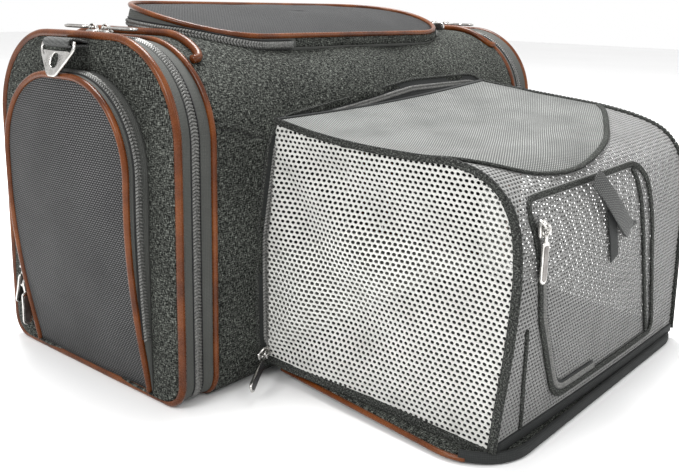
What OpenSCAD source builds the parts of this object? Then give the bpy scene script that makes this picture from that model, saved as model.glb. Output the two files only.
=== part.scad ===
// Soft-sided pet carrier bag with an expanding mesh tent on its front, a zipped
// roof hatch, zip-off ends with mesh windows, rolled handles and strap rings.
// Axes: X along the bag, Y from front (-) to back (+), Z up, Z = 0 on the ground.

/* [Bag body] */
// Length over both end panels
bag_l = 508; // [440:2:600]
// Depth of the body, front face to back face
bag_w = 240; // [230:2:280]
// Height of the body without the roof hatch
bag_h = 276; // [264:2:310]
// How much taller the end panels are than the body
end_lift = 4; // [0:1:6]
// Radius of the two upper edges
top_r = 76; // [60:1:90]
// Radius of the two lower edges
foot_r = 20; // [12:1:26]
// Thickness of the padded walls
wall = 4; // [2:0.5:6]
// Distance between the two piping rings at each end
gusset = 31; // [26:1:36]

/* [Front opening and tent] */
// Half of the opening's width
opening_half = 180; // [150:1:190]
// Height of the opening's top above the ground
opening_top = 236; // [220:1:244]
// Radius of the opening's upper corners
opening_r = 75; // [50:1:80]
// Depth of the unfolded tent
tent_d = 221; // [180:1:222]
// Height of the tent's roof at the bag
tent_back_h = 219; // [200:1:224]
// Height of the tent's roof at its front
tent_front_h = 207; // [180:1:212]
// Radius between the tent's roof and its front wall
tent_r = 20; // [16:1:40]
// Half of the tent's width at its front
tent_half = 152; // [130:1:160]

/* [End windows] */
// Half of the window's width
window_half = 82; // [60:1:88]
// Height of the window's top above the ground
window_top = 247; // [220:1:250]
// Radius of the window's upper corners
window_r = 68; // [40:1:75]
// How far the window stands out from the end panel
window_rise = 21; // [14:1:22]

/* [Roof hatch] */
// Left end of the hatch
hatch_x0 = -200; // [-205:1:-150]
// Right end of the hatch
hatch_x1 = 158; // [120:1:200]
// Front edge of the hatch
hatch_y0 = -84; // [-86:1:-70]
// Back edge of the hatch
hatch_y1 = 54; // [40:1:80]
// How far the hatch's piping stands above the body's top at its front
hatch_rise = 0; // [-1:1:8]
// How much higher the piping is at the back
hatch_lift = 24; // [6:1:28]

/* [Metal and piping] */
// Diameter of the outer piping
piping_d = 6; // [4:0.5:7]
// Diameter of the inner piping
inner_piping_d = 4.6; // [3:0.2:6]
// Diameter of the rolled handles
handle_d = 6.4; // [5:0.2:8]
// Length of a zipper pull from its pin to its tip
pull_l = 38; // [26:1:44]

/* [Hidden] */
SIDES = [-1, 1];
$fn = 48;
gap = 0.4;
half_l = bag_l / 2;
half_w = bag_w / 2;
ring_x = half_l - gusset;
split_x = half_l - gusset / 2;
tape = 1.6;
coil_w = 4.2;
coil_rise = 1.6;
zip_lift = end_lift / 2;
panel_t = 3;
window_foot = 8;
saddle = "#8a4a26";
heather = "#6d716b";
tape_grey = "#6c6e6c";
mesh_grey = "#55585a";
mesh_white = "#d9dad6";
nickel = "#c9cac6";

// ---------- frames of reference ----------

// Children drawn in (y, z) stand in the plane across the bag at x
module across(x) { translate([x, 0, 0]) rotate([90, 0, 90]) children(); }

// Children drawn in (x, z) stand in the plane along the bag at y and grow forwards
module along(y) { translate([0, y, 0]) rotate([90, 0, 0]) children(); }

// The left side is modelled; side 1 is its mirror image
module on_side(side) { mirror([side > 0 ? 1 : 0, 0, 0]) children(); }

// ---------- outlines ----------

// Upright shape from z0 to z1 with round upper corners rt and lower corners rb
module upright(half, z0, z1, rt, rb) {
    translate([-half, z0 + rb]) square([2 * half, z1 - rt - z0 - rb]);
    translate([rt - half, z0 + rb]) square([2 * (half - rt), z1 - z0 - rb]);
    translate([rb - half, z0]) square([2 * (half - rb), 2 * rb]);
    for (s = SIDES) {
        translate([s * (half - rt), z1 - rt]) circle(r = rt, $fn = 96);
        translate([s * (half - rb), z0 + rb]) circle(r = rb);
    }
}

// The body across the bag; lift raises its top
module body_outline(inset = 0, lift = 0) {
    upright(half_w - inset, inset, bag_h + lift - inset, top_r - inset, max(foot_r - inset, 1));
}

module opening_outline(inset = 0) {
    upright(opening_half - inset, 16 + inset, opening_top - inset, opening_r - inset, 20 - inset);
}

module window_outline(inset = 0) {
    upright(window_half - inset, window_foot, window_top - inset, window_r - inset, 7);
}

// Hole in the end panel behind the window
module window_hole() {
    rim = 9;
    upright(window_half - rim, window_foot + rim, window_top - rim, window_r - rim, 7);
}

// The hatch's plan: a bar with two half-round ends
module hatch_outline(inset = 0) {
    r = (hatch_y1 - hatch_y0) / 2 - inset;
    mid = (hatch_y0 + hatch_y1) / 2;
    c0 = hatch_x0 + inset + r;
    c1 = hatch_x1 - inset - r;
    translate([c0, mid - r]) square([c1 - c0, 2 * r]);
    for (c = [c0, c1]) translate([c, mid]) circle(r = r, $fn = 96);
}

// ---------- tubes ----------

// Straight tube in the drawing plane from p to q
module rod(p, q, d) {
    run = q - p;
    translate([p.x, p.y, 0]) rotate([0, 0, atan2(run.y, run.x)]) rotate([0, 90, 0])
        cylinder(d = d, h = norm(run));
}

// Quarter bend in the drawing plane about c, starting at angle a
module bend(c, r, a, d) {
    translate([c.x, c.y, 0]) rotate([0, 0, a]) rotate_extrude(angle = 90, $fn = 64)
        translate([r, 0]) circle(d = d, $fn = 20);
}

// Tube that follows an upright() outline
module upright_tube(half, z0, z1, rt, rb, d) {
    rod([rt - half, z1], [half - rt, z1], d);
    rod([rb - half, z0], [half - rb, z0], d);
    for (s = SIDES) rod([s * half, z0 + rb], [s * half, z1 - rt], d);
    bend([half - rt, z1 - rt], rt, 0, d);
    bend([rt - half, z1 - rt], rt, 90, d);
    bend([rb - half, z0 + rb], rb, 180, d);
    bend([half - rb, z0 + rb], rb, 270, d);
}

// Ring round the body's outline; its underside never passes the ground
module body_tube(inset, d, lift = 0) {
    upright_tube(half_w - inset, max(inset, d / 2), bag_h + lift - inset, top_r - inset, foot_r - inset, d);
}

function unit(v) = v / norm(v);

// Round tube through the points of a route; a closed route joins its last point to its first
module sweep(route, d, closed = false, sides = 8) {
    n = len(route);
    function ahead(i) = closed ? route[(i + 1) % n] : route[min(i + 1, n - 1)];
    function behind(i) = closed ? route[(i + n - 1) % n] : route[max(i - 1, 0)];
    points = [for (i = [0:n - 1])
        let (t = unit(ahead(i) - behind(i)), u = unit(cross([0.1, 0.2, 1], t)), v = cross(t, u))
        for (k = [0:sides - 1]) let (a = 360 * k / sides)
            route[i] + (u * cos(a) + v * sin(a)) * d / 2];
    walls = [for (i = [0:n - (closed ? 1 : 2)], k = [0:sides - 1])
        let (j = (i + 1) % n, m = (k + 1) % sides)
        [i * sides + k, i * sides + m, j * sides + m, j * sides + k]];
    caps = closed ? [] : [[for (k = [sides - 1:-1:0]) k], [for (k = [0:sides - 1]) (n - 1) * sides + k]];
    polyhedron(points, concat(walls, caps), convexity = 6);
}

// ---------- bag body ----------

module main_shell() {
    hatch_rim = 7;
    frame_rim = 11;
    color(heather) difference() {
        across(3 - ring_x) linear_extrude(2 * ring_x - 6) difference() {
            body_outline();
            body_outline(wall);
        }
        along(-half_w / 2) linear_extrude(half_w) opening_outline(frame_rim);
        translate([0, 0, bag_h / 2]) linear_extrude(bag_h) hatch_outline(hatch_rim);
    }
}

// Stiff board that keeps the bag's floor flat
module base_board() {
    board_t = 3;
    board_x = ring_x - 12;
    board_y = half_w - 20;
    color("#2d2d2d") translate([-board_x, -board_y, wall + gap]) cube([2 * board_x, 2 * board_y, board_t]);
}

// Washable pad that the animal lies on
module fleece_pad() {
    pad_t = 11;
    pad_r = 24;
    px = ring_x - 10 - pad_r;
    py = half_w - 22 - pad_r;
    color("#b9b6ae") translate([0, 0, wall + 2 * gap + 3]) linear_extrude(pad_t) {
        for (x = SIDES, y = SIDES) translate([x * px, y * py]) circle(r = pad_r);
        square([2 * (px + pad_r), 2 * py], center = true);
        square([2 * px, 2 * (py + pad_r)], center = true);
    }
}

// Flat spring wire that holds each end of the shell in its arch
module spring_wires() {
    wire_d = 2.4;
    color("silver") for (s = SIDES) across(s * (ring_x - 8)) body_tube(wall + wire_d / 2 + 0.2, wire_d);
}

module inner_pipings() {
    color(saddle) for (s = SIDES) across(s * (ring_x - gap)) body_tube(inner_piping_d / 2 - 2.1, inner_piping_d);
}

// The fixed half of each end's zipper: tape, stitched edge and half of the coil
module gusset_inner_tape() {
    run = gusset / 2 - inner_piping_d / 2 - 2 * gap;
    color(tape_grey) translate([-split_x + gap / 2, 0, 0]) {
        across(0) linear_extrude(run) difference() {
            body_outline(1.4, zip_lift);
            body_outline(1.4 + tape, zip_lift);
        }
        difference() {
            across(0) linear_extrude(coil_w) difference() {
                body_outline(1.4 - coil_rise, zip_lift);
                body_outline(1.5, zip_lift);
            }
            translate([-1, -half_w - 1, -1]) cube([gusset, bag_w + 2, foot_r + 4]);
        }
    }
    // The floor of the end stays with the body
    color(heather) translate([-half_l + 6, foot_r - half_w, 0]) cube([gusset - 9, bag_w - 2 * foot_r, 1.3]);
}

// ---------- ends ----------

module end_panel() {
    color(heather) across(-half_l + 0.5) linear_extrude(panel_t) difference() {
        body_outline(6, end_lift);
        window_hole();
    }
}

module outer_piping() {
    color(saddle) across(-half_l) body_tube(piping_d / 2 - 0.4, piping_d, end_lift);
}

// The half of the end's zipper that leaves with the end panel
module gusset_outer_tape() {
    run = gusset / 2 - 3.6 - gap;
    color(tape_grey) difference() {
        union() {
            across(-split_x - gap / 2 - run) linear_extrude(run) difference() {
                body_outline(1.4, zip_lift);
                body_outline(1.4 + tape, zip_lift);
            }
            across(-split_x - gap / 2 - coil_w) linear_extrude(coil_w) difference() {
                body_outline(1.4 - coil_rise, zip_lift);
                body_outline(1.5, zip_lift);
            }
        }
        translate([-half_l - 1, -half_w - 1, -1]) cube([gusset, bag_w + 2, foot_r + 4]);
    }
}

// Place and radius of the strap ring's bar
ring_bar_x = -half_l - 17;
ring_bar_z = bag_h + end_lift - 8;
ring_bar_r = 1.5;

// Webbing sewn into the top seam, folded round the ring's bar
module ring_strap() {
    strap_w = 35;
    reach = 16;
    color(tape_grey) difference() {
        union() {
            translate([ring_bar_x, strap_w / 2, ring_bar_z]) rotate([90, 0, 0])
                cylinder(r = ring_bar_r + 2, h = strap_w);
            translate([ring_bar_x + 1, -strap_w / 2, ring_bar_z - 1.5]) cube([reach - 1, strap_w, 3]);
        }
        translate([ring_bar_x, strap_w, ring_bar_z]) rotate([90, 0, 0])
            cylinder(r = ring_bar_r + 0.06, h = 2 * strap_w);
    }
}

// Flat triangular ring with an oval hole for a snap hook, leaning out from the end panel
module triangle_ring() {
    plate_t = 2.6;
    half = 20;
    tip = 22;
    tip_r = 5;
    hole_r = 4.6;
    hole_z = -13;
    hole_l = 2.5;
    lean = 18;
    color(nickel) translate([ring_bar_x, 0, ring_bar_z]) rotate([0, lean, 0]) {
        translate([0, half, 0]) rotate([90, 0, 0]) cylinder(r = ring_bar_r, h = 2 * half);
        for (s = SIDES) translate([0, s * half, 0]) {
            sphere(r = 2, $fn = 24);
            translate([0, 0, -7]) cylinder(r = 1.6, h = 7);
        }
        across(-plate_t / 2) linear_extrude(plate_t) difference() {
            union() {
                polygon([[-half - 1.6, -5.5], [half + 1.6, -5.5], [tip_r, -tip], [-tip_r, -tip]]);
                translate([0, -tip]) circle(r = tip_r);
            }
            translate([0, hole_z]) circle(r = hole_r);
            translate([-hole_r, hole_z - hole_l]) square([2 * hole_r, hole_l]);
            translate([0, hole_z - hole_l]) circle(r = hole_r);
        }
    }
}

// Side profile of the window: flush at its foot, standing out above
window_slope = 52;
module window_profile(skin) {
    front_x = -half_l - window_rise + skin;
    along(half_w) linear_extrude(bag_w) polygon([
        [-half_l - gap, window_foot], [-half_l - gap, bag_h], [front_x, bag_h],
        [front_x, window_foot + window_slope], [-half_l - gap - 3.6 + skin, window_foot]]);
}

// The window leaf: mesh front and the zipper tape round its edge
module window_mesh() {
    rim = 2.9;
    skin = 2;
    color(mesh_grey) difference() {
        intersection() {
            across(-half_l - window_rise) linear_extrude(window_rise) window_outline(rim);
            window_profile(0);
        }
        intersection() {
            across(-half_l - window_rise) linear_extrude(window_rise) window_outline(rim + skin);
            window_profile(skin);
        }
    }
}

module window_piping() {
    rail_d = 5;
    c = window_half - window_r;
    low = window_foot + window_slope;
    color(saddle) across(1.4 - half_l - window_rise) {
        for (s = SIDES) rod([s * window_half, low], [s * window_half, window_top - window_r], rail_d);
        rod([-c, window_top], [c, window_top], rail_d);
        bend([c, window_top - window_r], window_r, 0, rail_d);
        bend([-c, window_top - window_r], window_r, 90, rail_d);
    }
}

// Rolled handle that lies along the inner piping and lifts about it
handle_x = 4 - ring_x;
handle_half = 92;
handle_reach = 12;
function body_top(y, lift) = let (a = abs(y), c = half_w - top_r)
    a <= c ? bag_h + lift : bag_h - top_r + sqrt(max(pow(top_r + lift, 2) - pow(a - c, 2), 0));
handle_lift = handle_d / 2 + 0.8;
handle_route = [for (a = [180:-9:0])
    let (corner = pow(abs(cos(a)), 0.35) * sign(cos(a)), side = pow(sin(a), 0.35),
         y = corner * handle_half)
    [handle_x + handle_reach * side, y, body_top(y, handle_lift)]];

module handle() { color(saddle) sweep(handle_route, handle_d, sides = 10); }

// ---------- roof hatch ----------

function hatch_z(y) = bag_h + hatch_rise
    + hatch_lift * sin(90 * min(max((y - hatch_y0) / (hatch_y1 - hatch_y0), 0), 1));

// Everything below the hatch's top surface
module below_hatch(drop) {
    steps = 16;
    across(-half_l) linear_extrude(bag_l) polygon(concat(
        [for (i = [0:steps]) let (y = hatch_y0 - 6 + (hatch_y1 - hatch_y0 + 12) * i / steps) [y, hatch_z(y) - drop]],
        [[hatch_y1 + 6, bag_h / 2], [hatch_y0 - 6, bag_h / 2]]));
}

// Everything inside the body's outline grown by lift
module body_core(lift) { across(-half_l) linear_extrude(bag_l) body_outline(-lift); }

module hatch_wall(inset, t) {
    translate([0, 0, bag_h / 2]) linear_extrude(bag_h) difference() {
        hatch_outline(inset);
        hatch_outline(inset + t);
    }
}

// Height of the fixed half of the hatch's zipper, and of its sliders
base_rise = 4;
hatch_zip_rise = 6;

// Zipper tape that stands round the roof opening
module hatch_base() {
    color(tape_grey) difference() {
        intersection() {
            hatch_wall(0, 3);
            body_core(base_rise);
        }
        body_core(0.2);
    }
}

module hatch_skirt() {
    color(heather) difference() {
        intersection() {
            hatch_wall(0, 3);
            below_hatch(2);
        }
        body_core(base_rise + gap);
    }
}

module hatch_mesh() {
    color(mesh_grey) difference() {
        intersection() {
            translate([0, 0, bag_h / 2]) linear_extrude(bag_h) hatch_outline(3.3);
            below_hatch(0);
        }
        below_hatch(1.9);
    }
}

module hatch_piping() {
    steps = 72;
    r = (hatch_y1 - hatch_y0) / 2 - 0.5;
    mid = (hatch_y0 + hatch_y1) / 2;
    bar = (hatch_x1 - hatch_x0) / 2 - r;
    centre = (hatch_x0 + hatch_x1) / 2;
    route = [for (i = [0:steps - 1]) let (
        a = 360 * i / steps, x = centre + (cos(a) >= 0 ? bar : -bar) + r * cos(a), y = mid + r * sin(a))
        [x, y, hatch_z(y) + 1.2]];
    color(saddle) sweep(route, inner_piping_d, closed = true);
}

// ---------- front opening, fold-down panel and tent ----------

hinge_y = -half_w - 4;
hinge_z = 13;
board_t = 4.5;
panel_dip = asin((hinge_z - board_t - 0.4) / tent_d);

// Dark tape and zipper coil round the front opening
module front_frame() {
    color("#3c3f3f") intersection() {
        along(-half_w / 2) linear_extrude(half_w) difference() {
            opening_outline();
            opening_outline(10.6);
        }
        difference() {
            body_core(1.8);
            body_core(0.1);
        }
    }
}

// Half widths of the fold-down panel at its hinge and beyond, and its corner radius
root_half = 164;
tip_half = 182;
corner = 46;

// Plan of the fold-down panel, from its hinge (v = 0) to its free edge
module panel_plan(inset) {
    bend_v = tent_d - 1 - corner;
    polygon([[inset - root_half, 1], [root_half - inset, 1], [tip_half - inset, bend_v], [inset - tip_half, bend_v]]);
    translate([corner - tip_half, bend_v]) square([2 * (tip_half - corner), corner - inset]);
    for (s = SIDES) translate([s * (tip_half - corner), bend_v]) circle(r = corner - inset);
}

// The panel's own frame: x across, y from the hinge outwards, z up from its upper face
module on_panel() { translate([0, hinge_y, hinge_z]) rotate([0, 0, 180]) rotate([-panel_dip, 0, 0]) children(); }

module front_panel() {
    color(heather) on_panel() translate([0, 0, -board_t]) linear_extrude(board_t) panel_plan(5);
}

module front_panel_piping() {
    rim_d = 4.2;
    rim = 2;
    bend_v = tent_d - 1 - corner;
    quarter = [for (a = [0:9:90])
        [tip_half - corner + (corner - rim) * cos(a), bend_v + (corner - rim) * sin(a), -board_t / 2]];
    side = [for (t = [0:0.25:0.75])
        [root_half - rim + (tip_half - root_half) * t, 3 + (bend_v - 3) * t, -board_t / 2]];
    half = concat(side, quarter);
    n = len(half);
    route = concat(half, [for (i = [n - 1:-1:0]) [-half[i].x, half[i].y, half[i].z]]);
    color(saddle) on_panel() sweep(route, rim_d);
}

tent_y = hinge_y - tent_d + 6;
tent_wall_top = tent_front_h - tent_r;
tent_floor = 8;

// Side profile of the tent's roof: level run, round front edge, short drop
module tent_profile(inset) {
    back = -half_w - 3;
    front = tent_y + inset;
    polygon(concat(
        [[back, tent_back_h - inset]],
        [for (a = [0:10:90]) [front + tent_r - inset - (tent_r - inset) * sin(a),
            tent_front_h - tent_r + (tent_r - inset) * cos(a)]],
        [[front, tent_wall_top - 0.1], [back, tent_wall_top - 0.1]]));
}

module tent_roof() {
    color(mesh_white) across(-tent_half + 3) linear_extrude(2 * tent_half - 6) difference() {
        tent_profile(0);
        tent_profile(2);
    }
}

// One mesh side, fanning out from the tent's front edge to the bag's opening
module tent_side() {
    flare = atan((opening_half - 14 - tent_half) / (tent_d - 12));
    reach = (tent_d - 12) / cos(flare);
    color("white") translate([-tent_half + 1.2, tent_y + 1, 0]) rotate([0, 0, 90 + flare]) rotate([90, 0, 0])
        linear_extrude(1.6) {
            polygon([[0.5, tent_floor + 1], [reach, tent_floor + 9], [reach, tent_back_h - 20],
                [tent_r, tent_front_h - 1], [0.5, tent_front_h - tent_r]]);
            intersection() {
                translate([tent_r, tent_front_h - tent_r - 0.5]) circle(r = tent_r - 0.5);
                square([tent_r, bag_h]);
            }
        }
}

// Arched doorway in the tent's front wall
door_x0 = -128;
door_x1 = 100;
door_z0 = 26;
door_z1 = 176;
door_r = 20;
door_hinge_z = door_z1 - 2;

module tent_front_wall() {
    color(mesh_white) along(tent_y + 2) linear_extrude(2) difference() {
        translate([-tent_half + 4, tent_floor]) square([2 * tent_half - 8, tent_wall_top - tent_floor - 1]);
        translate([door_x0, door_z0]) square([door_x1 - door_x0, door_z1 - door_z0]);
    }
}

module tent_door() {
    color(mesh_grey) along(tent_y + 2) linear_extrude(1.6) {
        x0 = door_x0 + 1;
        x1 = door_x1 - 1;
        z0 = door_z0 + 1;
        translate([x0, z0 + door_r]) square([x1 - x0, door_hinge_z - 0.4 - z0 - door_r]);
        translate([x0 + door_r, z0]) square([x1 - x0 - 2 * door_r, 2 * door_r]);
        for (x = [x0 + door_r, x1 - door_r]) translate([x, z0 + door_r]) circle(r = door_r);
    }
}

// Webbing loop that holds the rolled-up door
module tent_door_strap() {
    strap_w = 15;
    lean = 24;
    color("#7d807e") translate([-46, tent_y - 6, door_z1 - 15]) rotate([0, -lean, 0]) difference() {
        translate([0, 0, -62]) cube([strap_w, 5.6, 60]);
        translate([-1, 1.3, -58]) cube([strap_w + 2, 3, 50]);
    }
}

// ---------- zipper sliders and pulls ----------

pin_z = 4.6;
pin_r = 1;

// Slider: travels along X, stands up along Z
module slider_body() {
    color(nickel) {
        translate([-6.5, -4.6, 0]) cube([13, 9.2, 2.4]);
        for (s = SIDES) translate([-3, s * 3.8 - 0.8, 2.3]) cube([6, 1.6, 4.2]);
        translate([0, 3.8, pin_z]) rotate([90, 0, 0]) cylinder(r = pin_r, h = 7.6);
    }
}

// Pull: an eye on the slider's pin and a flat tab towards +X, lifted by tilt
module pull_body(tint, tilt = 0) {
    color(tint) translate([0, 0, pin_z]) rotate([0, -tilt, 0]) translate([0, 0, -pin_z]) difference() {
        union() {
            translate([0, 2.6, pin_z]) rotate([90, 0, 0]) cylinder(r = 2, h = 5.2);
            translate([1, -2, pin_z - 0.9]) cube([9, 4, 1.8]);
            translate([9, -4, pin_z - 1.1]) cube([pull_l - 13, 8, 2.2]);
            translate([pull_l - 4, 0, pin_z - 1.1]) cylinder(r = 4, h = 2.2);
        }
        translate([0, 4, pin_z]) rotate([90, 0, 0]) cylinder(r = pin_r + 0.06, h = 8);
    }
}

slider_gap = 17;
gusset_z = bag_h + zip_lift - 1.4 + coil_rise + 0.3;
window_zip_x = -half_l - window_rise / 2;
window_zip_y = window_half - 2.4;

// Seats of the sliders; a child drawn for travel along X is turned into place
module gusset_seat(rear) {
    translate([-split_x, rear ? 3 : 3 - slider_gap, gusset_z]) rotate([0, 0, rear ? 90 : -90]) children();
}
module window_seat(upper) {
    translate([window_zip_x, window_zip_y, upper ? 74 : 74 - slider_gap])
        rotate([0, 0, 180]) rotate([90, 0, 0]) rotate([0, 0, -90]) children();
}
module hatch_seat(rear) {
    mid = (hatch_y0 + hatch_y1) / 2;
    translate([hatch_x1 + 0.4, rear ? mid + slider_gap / 2 : mid - slider_gap / 2, bag_h + hatch_zip_rise])
        rotate([rear ? 0 : 180, 0, 0]) rotate([0, 90, 0]) rotate([0, 0, 90]) children();
}
module front_seat() {
    translate([5 - opening_half, -half_w - 2.2, 25]) rotate([90, 0, 0]) rotate([0, 0, -160]) children();
}
module tent_seat() {
    translate([door_x0 - 5, tent_y - 0.4, door_z1 - 12]) rotate([90, 0, 0]) rotate([0, 0, -90]) children();
}

// ---------- node selection ----------

main_shell();
base_board();
fleece_pad();
spring_wires();
inner_pipings();
front_frame();
hatch_base();
hatch_skirt();
hatch_mesh();
hatch_piping();
tent_roof();
tent_side();  // tent_left_side
on_side(1) tent_side();  // tent_right_side
front_panel();
front_panel_piping();
tent_front_wall();
tent_door();
tent_door_strap();
hatch_seat(true) slider_body();  // hatch_slider_rear
hatch_seat(true) pull_body(nickel);  // hatch_pull_rear
hatch_seat(false) slider_body();  // hatch_slider_front
hatch_seat(false) pull_body(nickel);  // hatch_pull_front
front_seat() slider_body();  // front_slider
front_seat() pull_body("#222222", 27);  // front_pull
tent_seat() slider_body();  // tent_slider
tent_seat() pull_body(nickel);  // tent_pull
for (side = SIDES) {
    name = side < 0 ? "left_" : "right_";
    on_side(side) end_panel();
    on_side(side) outer_piping();
    on_side(side) gusset_inner_tape();
    on_side(side) gusset_outer_tape();
    on_side(side) ring_strap();
    on_side(side) triangle_ring();
    on_side(side) window_mesh();
    on_side(side) window_piping();
    on_side(side) handle();
    for (rear = [true, false]) {
        place = rear ? "rear" : "front";
        level = rear ? "upper" : "lower";
        on_side(side) gusset_seat(rear) slider_body();
        on_side(side) gusset_seat(rear) pull_body(nickel);
        on_side(side) window_seat(rear) slider_body();
        on_side(side) window_seat(rear) pull_body(nickel, rear ? 18 : 0);
    }
}
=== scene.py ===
import math

import bmesh
import bpy
import numpy as np
from mathutils import Matrix, Vector, noise


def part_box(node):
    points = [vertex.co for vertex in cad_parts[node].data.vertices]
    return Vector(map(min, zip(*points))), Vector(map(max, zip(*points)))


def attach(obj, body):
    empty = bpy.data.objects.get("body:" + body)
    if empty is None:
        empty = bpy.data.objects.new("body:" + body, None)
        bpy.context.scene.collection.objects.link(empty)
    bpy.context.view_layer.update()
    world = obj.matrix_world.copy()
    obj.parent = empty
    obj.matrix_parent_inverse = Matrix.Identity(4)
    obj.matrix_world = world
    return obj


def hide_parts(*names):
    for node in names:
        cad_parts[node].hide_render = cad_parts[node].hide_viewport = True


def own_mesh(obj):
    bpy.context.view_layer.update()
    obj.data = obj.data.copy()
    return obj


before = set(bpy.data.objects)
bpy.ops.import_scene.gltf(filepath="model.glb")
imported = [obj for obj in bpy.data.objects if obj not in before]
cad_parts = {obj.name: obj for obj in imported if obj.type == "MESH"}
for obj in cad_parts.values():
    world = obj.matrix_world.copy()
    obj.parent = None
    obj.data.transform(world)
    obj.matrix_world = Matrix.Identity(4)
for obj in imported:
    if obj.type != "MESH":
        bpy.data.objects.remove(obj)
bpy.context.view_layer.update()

# The lengths in this script are millimetres; piece() turns them into metres.
MM = 0.001
UV = "cloth"
SIDES = (("left", 1), ("right", -1))


def mm_box(node):
    low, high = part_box(node)
    return np.array(low) / MM, np.array(high) / MM


# ---------- sizes read from the frame ----------

shell_high = mm_box("main_shell")[1]
HALF_W = shell_high[1]
HEIGHT = shell_high[2]
TOP_R = 76
FOOT_R = 20
piping_low, piping_high = mm_box("left_outer_piping")
PIPING_R = (piping_high[0] - piping_low[0]) / 2
END_X = -(piping_high[0] + piping_low[0]) / 2
INNER_R = 2.3
RING_X = -(mm_box("inner_pipings")[0][0] + INNER_R)
END_LIFT = piping_high[2] - 0.4 - HEIGHT
SPLIT_X = (END_X + RING_X) / 2
hatch_low, hatch_high = mm_box("hatch_base")
HATCH_X0, HATCH_Y0 = hatch_low[0], hatch_low[1]
HATCH_X1, HATCH_Y1 = hatch_high[0], hatch_high[1]
window_low, window_high = mm_box("left_window_piping")
WINDOW_X = -(window_low[0] + window_high[0]) / 2
WINDOW_HALF = window_high[1] - 2.5
WINDOW_TOP = window_high[2] - 2.5
WINDOW_FOOT = 8
WINDOW_SLOPE = 150
WINDOW_R = 68
WALL_TOP = mm_box("tent_front_wall")[1][2]
HINGE_Y, HINGE_Z = -HALF_W - 4, 13
PANEL_L = 221
# Thickness of the fold-down panel's board, and the dip that brings its underside to about 0.4 mm above the
# floor at the far end
BOARD_T = 4.5
PANEL_DIP = math.asin((HINGE_Z - BOARD_T - 0.4) / PANEL_L)


# ---------- camera, floor and light ----------

def set_camera():
    yaw, pitch, roll = (math.radians(a) for a in (49.94, 12.59, 1.28))
    ahead = Vector((math.sin(yaw) * math.cos(pitch), math.cos(yaw) * math.cos(pitch), -math.sin(pitch)))
    flat_right = Vector((math.cos(yaw), -math.sin(yaw), 0))
    flat_up = flat_right.cross(ahead)
    right = flat_right * math.cos(roll) + flat_up * math.sin(roll)
    up = flat_up * math.cos(roll) - flat_right * math.sin(roll)
    turn = Matrix((right, up, -ahead)).transposed().to_4x4()
    data = bpy.data.cameras.new("camera")
    data.lens = 44.93
    data.shift_y = -0.068
    data.clip_start = 0.01
    camera = bpy.data.objects.new("camera", data)
    camera.matrix_world = Matrix.Translation((-0.63183, -0.58523, 0.30766)) @ turn
    bpy.context.scene.collection.objects.link(camera)
    bpy.context.scene.camera = camera


def set_light():
    """A plain white studio: an even white surround and large soft boxes, the strongest overhead."""
    bpy.context.scene.view_settings.view_transform = "Standard"
    world = bpy.data.worlds.new("studio")
    world.use_nodes = True
    world.node_tree.nodes["Background"].inputs["Color"].default_value = (1, 1, 1, 1)
    world.node_tree.nodes["Background"].inputs["Strength"].default_value = 1.0
    bpy.context.scene.world = world
    # place, size and power of each soft box; all look at the middle of the bag
    boxes = [((-1.9, -0.2, 1.3), 0.8, 26), ((-0.5, -1.8, 1.5), 0.9, 8), ((0.3, 0.4, 2.0), 1.0, 84),
             ((1.3, -1.3, 0.8), 0.8, 5)]
    for i, (place, size, power) in enumerate(boxes):
        data = bpy.data.lights.new(f"softbox_{i}", "AREA")
        data.size = size
        data.energy = power
        light = bpy.data.objects.new(f"softbox_{i}", data)
        light.location = place
        light.rotation_euler = (Vector((0, -0.05, 0.12)) - Vector(place)).to_track_quat("-Z", "Y").to_euler()
        bpy.context.scene.collection.objects.link(light)


# ---------- materials ----------

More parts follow.
